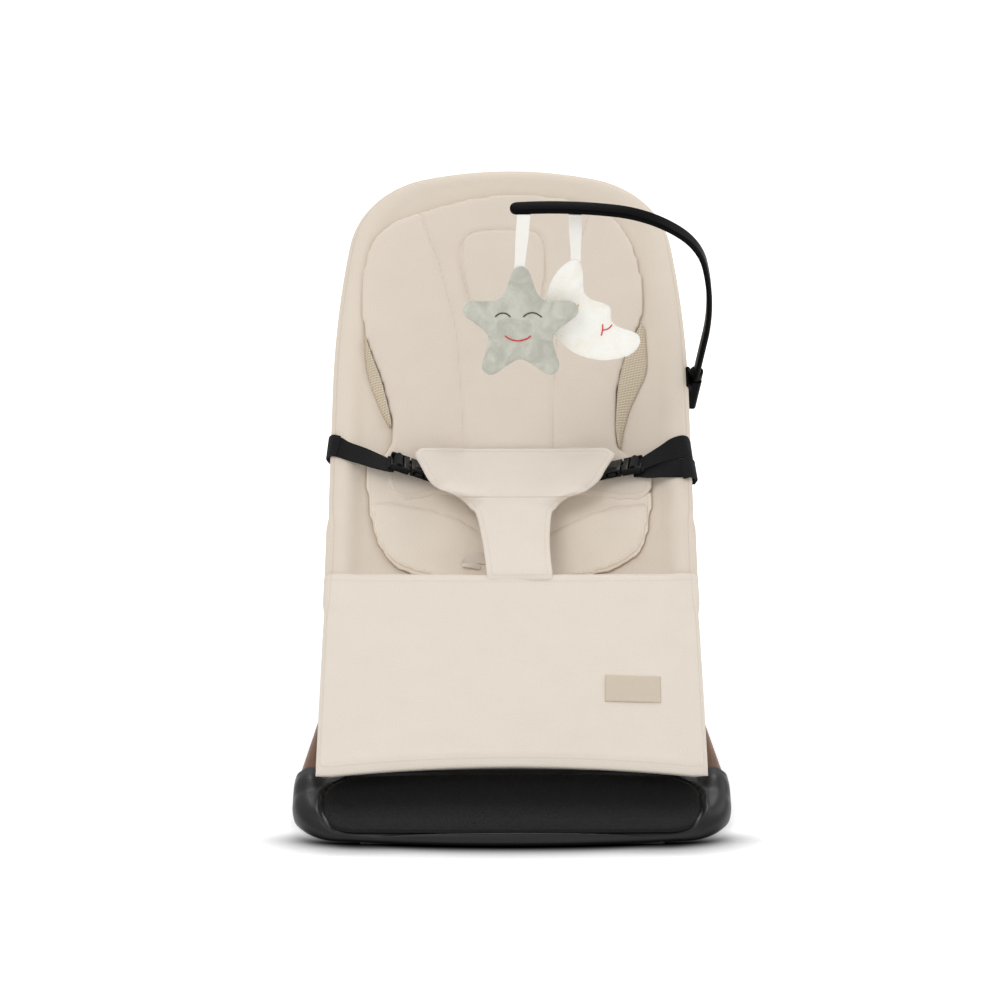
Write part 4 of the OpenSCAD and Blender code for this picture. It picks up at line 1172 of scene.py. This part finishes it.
starSet = {"x": 10, "y": -27.19, "z": 455.5, "tip": 62.4, "notch": 36, "thick": 9, "cap": 5.5}
starOutline = []
for arm in range(5):
    for turn, reach in ((-36, starSet["notch"]), (-26, starSet["notch"] + 2.5), (-13, 51), (-8.2, 59),
                        (-3, starSet["tip"]), (3, starSet["tip"]), (8.2, 59), (13, 51), (26, starSet["notch"] + 2.5)):
        c, s = cosSin(90 + 72 * arm + turn)
        starOutline.append((reach * c, reach * s))
moonSet = {"x": 82, "y": -9.29, "z": 466.7, "thick": 9, "cap": 5.5}
moonOutline = [(-20.8, 53.8), (-14, 55.5), (-9, 50), (-6.8, 38), (-6.6, 25), (-3.5, 17), (4, 12), (16, 8.4), (23, 3),
               (22.6, -5), (24.5, -12.5), (33, -17.6), (46, -21.5), (53.5, -27.5), (53, -36), (45, -45.4),
               (31, -50.6), (14, -52.4), (-3, -49.6), (-19, -42.5), (-32, -31.2), (-40.5, -18), (-45, -3),
               (-45.6, 12), (-43, 26), (-38, 36.4), (-30, 47)]


toySet = {"voxel": 2.6, "pressure": 9, "rimPull": 0.62, "rimReach": 3.2, "uneven": 0.8, "fine": 0.35, "fill": 0.75}


def toy(name, outline, values):
    piece, edgeOf = stuffed(name + "Toy", outline, values["thick"], values["cap"], toySet["voxel"],
                            pressure=toySet["pressure"], both=True)
    for vert in piece.data.vertices:
        x, z, deep = vert.co.x * 1000, vert.co.y * 1000, vert.co.z * 1000 - values["thick"] / 2
        edge = edgeOf(x, z)
        deep *= 1 - toySet["rimPull"] * math.exp(-edge / toySet["rimReach"])  # pulled in at the rim's seam
        uneven = toySet["uneven"] * ripple(x, z, 17, 2.2) + toySet["fine"] * ripple(x, z, 7, 6.1)
        deep += uneven * min(1, edge / 8) * (1 if deep > 0 else -1)
        vert.co = Vector((values["x"] + x, values["y"] - deep, values["z"] + z)) / 1000
    piece.data.update()
    outward(piece)
    paint(smooth(piece), finishes[name + "Plush"])
    attach(piece, name, [name])
    return surfaceOf(piece)


toys = {"star": (toy("star", starOutline, starSet), starSet), "moon": (toy("moon", moonOutline, moonSet), moonSet)}
print("star and moon stuffed")


def embroidered(which, name, radius, finish, *lines):  # raised satin stitch on a toy's face
    tree, values = toys[which]
    cords = []
    for k, line in enumerate(lines):
        run = []
        for x, z in roundPath(line, step=0.8):
            start = Vector((values["x"] + x, values["y"] - 60, values["z"] + z)) / 1000
            hit = tree.ray_cast(start, Vector((0, 1, 0)))[0]
            run.append((hit or start + Vector((0, 0.05, 0))) + Vector((0, -0.00015, 0)))
        cords.append(pipeOf(name + str(k), run, radius / 1000))
    attach(smooth(paint(joinAll(name, cords), finishes[finish])), which)


embroidered("star", "starEyes", 0.75, "blackThread",
            [(-26.5, 10.5), (-22.5, 13.6), (-18.5, 14.4), (-14.5, 13.5), (-10.6, 10.2)],
            [(2.6, 10.4), (7, 13.7), (12, 14.8), (17, 13.6), (21.8, 10.2)])
embroidered("star", "starSmile", 0.8, "redThread",
            [(-16.5, -9.6), (-12, -12.6), (-6, -14.6), (0, -14.6), (6, -12.9), (10.6, -9.8)])
embroidered("moon", "moonMouth", 0.7, "redThread", [(13.8, -12.6), (13.8, -18), (12.6, -24.6)],
            [(13.6, -19), (17.5, -18.3), (21, -16.6), (23.6, -13.6)])
embroidered("moon", "moonEye", 0.9, "yellowThread", [(-16.6, 3.4), (-13.4, 5.6), (-11.6, 8.6)])


# ribbons: a doubled band that hangs from a loop round the bar

barSet = {"clipV": 234, "lean": 123.2, "topP": 259, "topX": 41, "crownR": 450}


def onBar(x, p, q):  # x across, p up the bar's own plane from the clip, q off it
    c, s = cosSin(seat["backSlope"])
    clip = Vector((0, seat["kneeY"] + barSet["clipV"] * c, seat["kneeZ"] + barSet["clipV"] * s))
    c, s = cosSin(barSet["lean"])
    return Vector((x, clip.y + p * c - q * s, clip.z + p * s + q * c)) / 1000


def barP(x):
    return barSet["topP"] - barSet["crownR"] + math.sqrt(barSet["crownR"] ** 2 - (x - barSet["topX"]) ** 2)


ribbonSet = {"wide": 13.5, "thick": 1.1, "across": 8, "halfP": 2.6, "halfQ": 7.6, "corner": 1.6, "loopThick": 0.9,
             "loopLong": 41, "sway": 0.8}


def ribbonPieces(name, x, topY, topZ, bottomZ, lean, narrow):
    loop = []  # round the strip in (p, q)
    for corner, (cp, cq) in enumerate(((1, 1), (-1, 1), (-1, -1), (1, -1))):
        for k in range(5):
            c, s = cosSin(90 * corner + 22.5 * k)
            loop.append((cp * ribbonSet["halfP"] + ribbonSet["corner"] * c,
                         cq * ribbonSet["halfQ"] + ribbonSet["corner"] * s))
    ring = roundPath(loop[5:15], step=1.0)  # the half under the strip
    slope = -math.asin((x - barSet["topX"]) / barSet["crownR"])

    def loopPlace(u, w):
        p, q = ring[round(w * (len(ring) - 1))]
        dx = (u - 0.5) * ribbonSet["wide"]
        c, s = math.cos(slope), math.sin(slope)
        return onBar(x + dx * c - p * s, barP(x) + dx * s + p * c, q)

    band = gridOf(name + "Loop", ribbonSet["across"], len(ring) - 1, loopPlace,
                  lambda u, w: (u * ribbonSet["wide"] / 1000, w * len(ring) / 1000))
    outward(band)
    loopArea = sheetArea(band)
    modify(band, "SOLIDIFY", thickness=ribbonSet["loopThick"] / 1000, offset=-1)
    smooth(paint(band, finishes["ribbon"]), 50)
    long = topZ - bottomZ

    def tailPlace(u, w):
        down = 1 - w
        wide = lerp(ribbonSet["wide"], narrow, ease(0.3, 0.9, down))
        sway = ribbonSet["sway"] * math.sin(down * 5.0)
        return Vector((x + lean * down + (u - 0.5) * wide, topY - sway * down, topZ - long * down)) / 1000

    tail = gridOf(name + "Ribbon", ribbonSet["across"], 40, tailPlace,
                  lambda u, w: (u * ribbonSet["wide"] / 1000, w * long / 1000))
    tailArea = sheetArea(tail)
    modify(tail, "SOLIDIFY", thickness=ribbonSet["thick"] / 1000, offset=0)
    smooth(paint(tail, finishes["ribbon"]), 50)
    wide, loopLong = ribbonSet["wide"] / 1000, ribbonSet["loopLong"] / 1000
    attach(band, "toy_bar", [name + "_loop"])
    fillOf(loopArea, wide, loopLong)
    attach(tail, name, [name + "_ribbon"])
    fillOf(tailArea, wide, long / 1000)


ribbonPieces("star", 13, -27.19, 571.8, 514.5, -4.5, 11)
ribbonPieces("moon", 66, -9.29, 576.2, 519.5, 1.5, 10.5)
print("ribbons sewn")


# webbing straps: bands given by rows of their two edges, as (x, v, h) below and (x, v, h) above

webSet = {"thick": 1.5, "across": 10, "step": 1.6, "slack": 0.021, "wide": 0.025}


def bandOf(name, rows, thick=webSet["thick"], finish="webbing", across=webSet["across"], toWorld=onBack):
    line = roundPath([tuple(low) + tuple(high) for low, high in rows], step=webSet["step"])
    gone = lengthsOf(line, lambda a, b: (math.dist(a[:3], b[:3]) + math.dist(a[3:], b[3:])) / 2)
    last = len(line) - 1

    def place(u, w):
        row = line[round(w * last)]
        return toWorld(*(lerp(row[k], row[k + 3], u) for k in range(3)))

    def cloth(u, w):
        row = line[round(w * last)]
        return gone[round(w * last)] / 1000, u * math.dist(row[:3], row[3:]) / 1000
    band = gridOf(name, across, last, place, cloth)
    area = sheetArea(band)
    modify(band, "SOLIDIFY", thickness=thick / 1000, offset=0)
    smooth(paint(band, finishes[finish]), 50)
    return band, area, gone[-1]


def bandSheet(band, area, long, wide, rests):
    round(long / 1000, 4)
    fillOf(area, wide, long / 1000)


def webbing(name, rows, body, stands, rests):
    band, area, long = bandOf(name, rows)
    attach(band, body, stands)
    bandSheet(band, area, long, webSet["wide"], rests)
    return band


def slacken(piece, fast, free):  # gives the piece its own copy of its mesh
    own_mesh(piece)


leftStrap = webbing("leftStrap", [
    ((-190, 127, -9.6), (-185, 153, -10)), ((-198.4, 132, -5), (-194.6, 158, -5.5)),
    ((-199.6, 134, 1), (-197.2, 159, 1.5)), ((-196, 133.4, 8), (-192.4, 158.2, 8.6)),
    ((-189, 131, 11.4), (-185, 154.6, 11.4)), ((-178, 127.5, 10.6), (-176, 150.5, 7.8)),
    ((-164, 124.2, 8), (-158.4, 145.8, 3)), ((-148, 120.6, 4.5), (-145, 142.4, -3.5)),
    ((-136, 120.4, -1.3), (-136, 141, -10)), ((-128, 121.4, -6), (-128, 138, -15))],
    "back", ["left_strap"], [backCover])
webbing("leftStrapTab", [
    ((-198.4, 132.5, -6.4), (-195.4, 158, -6.4)), ((-201, 134, 0.8), (-198.8, 159.6, 1.6)),
    ((-197.4, 133.2, 9.3), (-193.8, 158.8, 10.2)), ((-190.6, 130.8, 13.1), (-185.4, 155.4, 13.2))],
    "back", [], ["left_strap"])
slacken(leftStrap, onBack(-199, 146, 1), onBack(-128, 128, -10))
rightStrap = webbing("rightStrap", [
    ((189, 101, -9.8), (184.5, 127, -10)), ((198.4, 106, -5.4), (195, 130, -5.6)),
    ((200.6, 107.6, 1), (198, 128.4, 1.6)), ((196.8, 106.6, 8.6), (193, 128.2, 9)),
    ((188, 105.4, 11.6), (184.6, 127.8, 11.4)), ((176, 106.4, 9.6), (174.6, 128.4, 8)),
    ((163, 108.6, 5.5), (161, 129.4, 1.5)), ((150, 110.6, 0.8), (148, 131.6, -6.4)),
    ((142, 113.4, -3.4), (141, 132.6, -11)), ((134, 116.4, -8), (133, 132, -16))],
    "back", ["right_strap"], [backCover])
webbing("rightStrapTab", [
    ((199.4, 105.4, -6), (196.4, 129.6, -6.4)), ((202.4, 107.8, 0.8), (199.8, 129.6, 1.4)),
    ((198.6, 106.6, 9.8), (194.8, 129.4, 10.4)), ((190.6, 103.4, 13.2), (188, 128.6, 13)),
    ((186.4, 102.6, 13), (185.2, 126, 12.6))],
    "back", [], ["right_strap"])
slacken(rightStrap, onBack(199, 118, 1), onBack(133, 123, -11))
rightFold = webbing("rightStrapFold", [
    ((190, 133, -10), (186, 158, -10)), ((197.6, 131.6, -4.6), (194.6, 158.4, -4.8)),
    ((198.4, 130.4, 1.6), (195.6, 158, 2)), ((196, 129.6, 8.4), (191, 157, 9.6)),
    ((188, 129.4, 11.8), (185.4, 156.4, 11.8)), ((178, 128.4, 9.8), (174.6, 153.6, 9.6)),
    ((165, 126.6, 5.6), (162.6, 147.6, 3.4)), ((152, 123.6, 1.4), (148.6, 140.8, -3)),
    ((140, 120, -4.4), (138, 136.4, -9.6))],
    "back", [], ["right_strap"])
slacken(rightFold, onBack(198, 144, 2), onBack(138, 128, -7))
print("straps threaded")


# side-release buckles, each lying rolled towards the front: x along the strap, y across it, z out of its face

buckleSet = {"roll": 34, "sink": 4, "dip": 20, "face": 1.2, "left": {"x": -180, "v": 143, "h": 11, "turn": -10.7,
             "slide": 0}, "right": {"x": 180, "v": 128.5, "h": 11, "turn": -2.5, "slide": -13}}


def strapSpot(side, x, y, z):
    at = buckleSet[side]
    c, s = cosSin(buckleSet["roll"])
    z += buckleSet["face"]
    y, z = y * c + z * s, -y * s + z * c - buckleSet["sink"]
    x += at["slide"]
    c, s = cosSin(buckleSet["dip"])
    x, z = x * c + z * s, -x * s + z * c
    c, s = cosSin(at["turn"])
    x, y = x * c - y * s, x * s + y * c
    flip = -1 if side == "right" else 1
    return onBack(at["x"] + flip * x, at["v"] + y, at["h"] + z)


def block(low, high, bevel, turn=0):  # a box with softened edges, in millimetres
    clearSelection()
    bpy.ops.mesh.primitive_cube_add(size=1, location=[(a + b) / 2 for a, b in zip(low, high)],
                                    rotation=(0, 0, rad(turn)))
    piece = named("block")
    piece.scale = [b - a for a, b in zip(low, high)]
    settle(piece)
    return modify(piece, "BEVEL", width=bevel, segments=3, limit_method="NONE")


def assembled(name, parts, side, body, stands):
    piece = joinAll(name, parts)
    for vert in piece.data.vertices:
        vert.co = strapSpot(side, *vert.co)
    piece.data.update()
    outward(piece, 1e-7)
    attach(smooth(paint(piece, finishes["bucklePlastic"]), 40), body, stands)


for side in ("left", "right"):
    assembled(side + "BucklePlug", [
        block((52.5, -14.4, 0), (73.8, -11.6, 7.6), 1.1), block((52.5, 11.6, 0), (73.8, 14.4, 7.6), 1.1),
        block((52.8, -13, 0.3), (55.6, 13, 3.4), 0.9), block((59.6, -13, 2.2), (62.2, 13, 5.2), 1.0),
        block((66.4, -13.6, 0.3), (73.8, 13.6, 7.4), 1.4), block((73, -3.2, 2.2), (91, 3.2, 5.8), 0.6)],
        side, side + "_plug", [side + "_buckle_plug"])
    for which, sign in (("Lower", -1), ("Upper", 1)):
        assembled(side + which + "Prong", [
            block((73.2, min(sign * 8.4, sign * 10.6), 2.2), (82, max(sign * 8.4, sign * 10.6), 5.8), 0.7, -sign * 6),
            block((80, min(sign * 9, sign * 13.4), 2), (90, max(sign * 9, sign * 13.4), 6), 1.6, -sign * 4)],
            side, side + "_" + which.lower() + "_prong", [side + "_" + which.lower() + "_prong"])
    assembled(side + "BuckleSocket", [
        block((75, -12.6, 6.2), (101.4, 12.6, 8.2), 0.9), block((75, -12.6, -0.2), (101.4, 12.6, 1.8), 0.9),
        block((75, -13.6, 0), (78.6, 13.6, 8), 1.2), block((91.4, -11.6, 0), (99, 13.6, 7.4), 1.6),
        block((79.4, -6.4, 7.6), (90.4, 6.4, 8.9), 0.6)],
        side, "back", [side + "_buckle_socket"])
    wind = [((x, -12, z), (x, 12, z)) for x, z in (  # up through the ladder, over its bar and back out under itself
        (50, 0.6), (55, 1.0), (57.2, 3), (57.4, 6.4), (60.4, 9), (63.8, 7.4), (64.6, 4.4), (62.6, 1.2), (58, -0.2))]
    roll, rollArea, rollLong = bandOf(side + "StrapRoll", wind, 1.6,
                                      toWorld=lambda x, y, z, s=side: strapSpot(s, x, y, z))
    attach(roll, side + "_plug", [side + "_strap_tail"])
    bandSheet(roll, rollArea, rollLong, webSet["wide"], [side + "_buckle_plug"])
print("buckles closed")


# a small folded loop of cloth beside the crotch

def onLobe(x, v, h):
    return onBack(x, v, lobeTop(x, v) + h)


foldSet = {"wide": 0.013, "thick": 1.0, "across": 8}
foldRows = [((-28, 25, 1.5), (-28, 38, 4)), ((-34, 26, 2), (-35, 39, 6)), ((-42, 25.5, 2.4), (-44, 37, 6)),
            ((-49, 22.5, 2), (-51, 31, 5.4)), ((-53, 21, 3.6), (-53.5, 24.5, 5.6)),
            ((-49, 19, 5.4), (-48.5, 23.4, 6.8)), ((-42, 18.6, 4.4), (-41.5, 24.2, 7.2)),
            ((-34, 18, 2), (-33.5, 23, 5))]
fold, foldArea, foldLong = bandOf("loopTab", foldRows, foldSet["thick"], "waistCloth", foldSet["across"], onLobe)
stitchMarks(fold, None)
attach(fold, "back")
bandSheet(fold, foldArea, foldLong, foldSet["wide"], ["seat_pad"])
print("loop tab folded")


# the toy bar: a rounded strip swept along its curve, with a collar and a pin that turns in the clip

barWay = {"half": 8, "halfT": 3, "round": 2.7, "tip": 7.5, "out": 8, "in": 5.4}


def barLine():  # points (x, p, heading) from the free end to the clip
    c, s = cosSin(barWay["in"])
    x, p = barSet["topX"] - barSet["crownR"] * s, barSet["topP"] - barSet["crownR"] * (1 - c)
    return walk(x, p, 90 - barWay["in"], [
        (barWay["in"] + barWay["out"], barSet["crownR"]), (2, 0), (30, 140), (2, 0), (39, 86), (2, 0), (19, 320),
        (60, 0)], 2.0)


def section(halfP, halfQ, corner):  # a rounded rectangle
    spots = []
    for k in range(4):
        for i in range(6):
            c, s = cosSin(90 * k + 18 * i)
            sx = 1 if k in (0, 3) else -1
            sy = 1 if k in (0, 1) else -1
            spots.append((sx * (halfP - corner) + corner * c, sy * (halfQ - corner) + corner * s))
    return spots


def sweptBar():
    way = barLine()
    gone = lengthsOf(way)
    rings = []
    for far in (0.05, 0.4, 1.0, 2.0, 3.4, 5.0, 6.4):  # the rounded free end
        t = 1 - far / barWay["tip"]
        rings.append((far, barWay["half"] * math.sqrt(1 - t * t), barWay["halfT"] * min(1, 0.45 + far / 2.4)))
    rings += [(far, barWay["half"], barWay["halfT"]) for far in gone if far > barWay["tip"]]
    places = []
    for far, halfQ, halfP in rings:
        i = min(len(gone) - 2, max(k for k in range(len(gone)) if gone[k] <= far))
        t = (far - gone[i]) / (gone[i + 1] - gone[i])
        x, p, heading = (lerp(way[i][k], way[i + 1][k], t) for k in range(3))
        corner = min(barWay["round"], halfQ * 0.95, halfP * 0.95)
        c, s = cosSin(heading)
        places += [onBar(x - dp * c, p + dp * s, dq) for dp, dq in section(halfP, halfQ, corner)]
    count = len(places) // len(rings)
    ends = [list(range(count))[::-1], list(range(len(places) - count, len(places)))]
    return meshOf("toyBar", places, ends + ringFaces(len(rings), count)), way[-1]


strip, barFoot = sweptBar()
pins = []
for name, radius, start, length, bevel in (("barCollar", 7.4, -6, 12, 1.2), ("barPin", 4.5, 0, 34, 0.6)):
    clearSelection()
    bpy.ops.mesh.primitive_cylinder_add(vertices=48, radius=radius, depth=length, location=(0, 0, start + length / 2))
    pin = modify(settle(named(name)), "BEVEL", width=bevel, segments=3, limit_method="ANGLE", angle_limit=rad(40))
    hp, hx = cosSin(barFoot[2])
    for vert in pin.data.vertices:
        a, q, far = vert.co.x, vert.co.y, vert.co.z
        vert.co = onBar(barFoot[0] + hx * far - hp * a, barFoot[1] + hp * far + hx * a, q)
    pins.append(pin)
toyBar = outward(joinAll("toyBar", [strip] + pins))
attach(smooth(paint(toyBar, finishes["barPlastic"]), 40), "toy_bar", ["toy_bar"])
print("toy bar moulded")


# the front foot's shell: rings from its outline to a line along its middle, with a dished recess for the pad

footSet = {"half": 219.5, "depth": 106, "elbowR": 55, "bowR": 1366, "front": -325, "edge": 15, "tuck": 9,
           "padHalf": 191, "padWide": 48, "padR": 36, "padY": 51, "recess": 4.6, "gap": 3, "dish": 2.2,
           "padDrop": 1.4, "railX": 204, "railZ": 24, "collarR": 16.2, "saddle": 8, "low": 0.7, "skirt": 3.2,
           "padBow": 4, "padTaper": 0.12, "lip": 0.8, "heelR": 10, "middleX": 150, "middleY": 60, "dishReach": 26,
           "padEdge": 1.6, "padThick": 1.5, "endRise": 3.5, "backEdge": 4, "inside": 3.6}
footTop = [(0, 11.6), (6, 14.2), (30, 21.6), (60, 31), (88, 39.6), (97, 41.5), (106, 41)]
footSlope = math.atan2(28, 89)
elbowX = footSet["half"] - footSet["elbowR"]
elbowY = footSet["bowR"] - math.sqrt(footSet["bowR"] ** 2 - elbowX ** 2) + footSet["elbowR"]


def footEdge(x, y):  # how far a place is inside the outline
    x = abs(x)
    if x > elbowX and y < elbowY:
        return footSet["elbowR"] - math.hypot(x - elbowX, y - elbowY)
    side = min(footSet["half"] - x, footSet["depth"] - y)
    return min(side, footSet["bowR"] - math.hypot(x, y - footSet["bowR"])) if x <= elbowX else side


def footRim():
    right = []
    for k in range(61):  # along the bowed front
        x = elbowX * k / 60
        right.append((x, footSet["bowR"] - math.sqrt(footSet["bowR"] ** 2 - x * x)))
    for k in range(1, 25):
        c, s = cosSin(-90 + 90 * k / 24)
        right.append((elbowX + footSet["elbowR"] * c, elbowY + footSet["elbowR"] * s))
    right += [(footSet["half"], y) for y in (68, 72, 77, 82, 87, 92)]
    heelX, heelY = footSet["half"] - footSet["heelR"], footSet["depth"] - footSet["heelR"]
    for k in range(1, 9):
        c, s = cosSin(90 * k / 8)
        right.append((heelX + footSet["heelR"] * c, heelY + footSet["heelR"] * s))
    right += [(heelX * (1 - k / 70), footSet["depth"]) for k in range(1, 71)]
    return right + [(-x, y) for x, y in right[-2:0:-1]]


def padEdge(x, y):  # how far a place is inside the recess for the pad, along the slope
    far = (x / footSet["padHalf"]) ** 2
    long = (y - footSet["padY"]) / math.cos(footSlope) + footSet["padBow"] * far
    long /= 1 - footSet["padTaper"] * far
    dx, dl = abs(x) - (footSet["padHalf"] - footSet["padR"]), abs(long) - (footSet["padWide"] - footSet["padR"])
    return footSet["padR"] - math.hypot(max(dx, 0), max(dl, 0)) - min(max(dx, dl), 0)


def softMax(a, b, blend):
    h = max(blend - abs(a - b), 0) / blend
    return max(a, b) + h * h * blend * 0.25


def footPlain(x, y):  # the shell's upper side before its recess and its rounded edge
    end = ease(150, 190, abs(x))
    return along(footTop, y) - footSet["saddle"] * end * ease(52, 102, y) + footSet["endRise"] * end * ease(60, 20, y)


def footHeight(x, y):
    z = footPlain(x, y)
    inside = padEdge(x, y)
    z -= footSet["recess"] * ease(-0.4, 2.2, inside) - footSet["lip"] * math.exp(-((inside + 2) / 1.6) ** 2)
    gap = footEdge(x, y)
    back = ease(96, 104, y)
    edge = lerp(min(footSet["edge"], max(3, z - 5)), footSet["backEdge"], back)
    if gap < edge:
        z -= edge - math.sqrt(max(0, edge * edge - (edge - gap) ** 2))
    off = abs(x) - footSet["railX"] - (footSet["depth"] - y) * 0.02
    if y > 30 and abs(off) < footSet["collarR"]:
        gone = footSet["depth"] - y
        collar = footSet["railZ"] + math.sqrt(footSet["collarR"] ** 2 - off * off) - 0.05 * gone
        z = softMax(z, collar - 0.02 * max(0, gone - 14) ** 2, 7)
    return z


def toMiddle(x, y):  # one step from a place on the rim towards the line along the foot's middle
    toX, toY = max(-footSet["middleX"], min(footSet["middleX"], x)) - x, footSet["middleY"] - y
    reach = math.hypot(toX, toY)
    return toX / reach, toY / reach


def footRings():
    rim = footRim()
    rings = []
    for k in range(7):  # the wall, tucked in towards the floor
        turn = rad(90 * (1 - k / 6))
        ring = []
        for x, y in rim:
            top = footHeight(x, y) - 0.1
            fall = top - footSet["low"]
            tuck = min(footSet["tuck"] * (0.35 + 0.65 * ease(150, 195, abs(x))), fall * 0.8) * (1 - math.cos(turn))
            tuck *= (1 - ease(100, 104, y)) * (1 - 0.5 * ease(30, 55, y))
            stepX, stepY = toMiddle(x, y)
            ring.append((x + stepX * tuck, y + stepY * tuck, top - fall * math.sin(turn)))
        rings.append(ring)
    steps = [0.4, 0.9, 1.6, 2.2, 2.8, 3.4, 4, 4.6, 5.4, 6.8, 8.6, 10.4, 12, 13.6, 15, 16.2, 17.2, 18.2, 19.2, 20.4,
             22, 24, 26.5, 29.5, 33, 37, 41, 45, 49, 53, 57, 60]
    for step in steps:
        ring = []
        for x, y in rim:
            toX = max(-footSet["middleX"], min(footSet["middleX"], x))
            px, py = lerp(x, toX, step / steps[-1]), lerp(y, footSet["middleY"], step / steps[-1])
            ring.append((px, py, footHeight(px, py)))
        rings.append(ring)
    return rings


rings = footRings()
inwards = [(x, y, *toMiddle(x, y)) for x, y, _ in rings[0]]
rings = [[(x + stepX * inset, y + stepY * inset, z) for x, y, stepX, stepY in inwards] for inset, z in (
    (14, footSet["inside"]), (footSet["skirt"], footSet["inside"]), (footSet["skirt"] - 0.4, footSet["low"]))] + rings
ringSize = len(rings[0])
footPlaces = [(x / 1000, (y + footSet["front"]) / 1000, z / 1000) for ring in rings for x, y, z in ring]
footFaces = ringFaces(len(rings), ringSize) + [list(range(ringSize))[::-1]]
footShell = outward(meshOf("footShell", footPlaces, footFaces), 2e-5)
clearSelection()
footBack = nodes["front_foot"].copy()
footBack.data = nodes["front_foot"].data.copy()
bpy.context.scene.collection.objects.link(footBack)
editAll(outward(footBack, 1e-6), (bpy.ops.mesh.bisect, {  # the sockets behind the shell
    "plane_co": (0, (footSet["front"] + footSet["depth"] + 0.2) / 1000, 0), "plane_no": (0, 1, 0),
    "clear_inner": True, "threshold": 1e-5}))
footShell = joinAll("frontFoot", [footShell, footBack])
attach(smooth(paint(footShell, finishes["footShell"]), 42), "base", ["front_foot"])


def padPlace(u, w):
    wide, half, corner = (footSet["padWide"] - footSet["gap"], footSet["padHalf"] - footSet["gap"],
                          footSet["padR"] - footSet["gap"])
    long = (2 * w - 1) * wide
    over = max(0, abs(long) - (wide - corner))
    reach = half - corner + math.sqrt(max(0, corner * corner - over * over))
    x = (2 * u - 1) * reach
    far = (x / footSet["padHalf"]) ** 2
    shifted = long * (1 - footSet["padTaper"] * far) - footSet["padBow"] * far
    y = footSet["padY"] + shifted * math.cos(footSlope)
    gap = padEdge(x, y) - footSet["gap"]
    dish = footSet["dish"] * ease(0, footSet["dishReach"], gap) * math.cos(math.pi / 2 * long / wide)
    z = footPlain(0, y) - footSet["padDrop"] - dish - footSet["padEdge"] * (1 - ease(-0.3, 3.2, gap))
    return Vector((x, y + footSet["front"], z)) / 1000


pad = gridOf("footPad", 240, 96, padPlace)
modify(pad, "SOLIDIFY", thickness=footSet["padThick"] / 1000, offset=-1)
attach(smooth(paint(pad, finishes["footPad"]), 50), "base", ["front_foot_pad"])
print("front foot moulded")
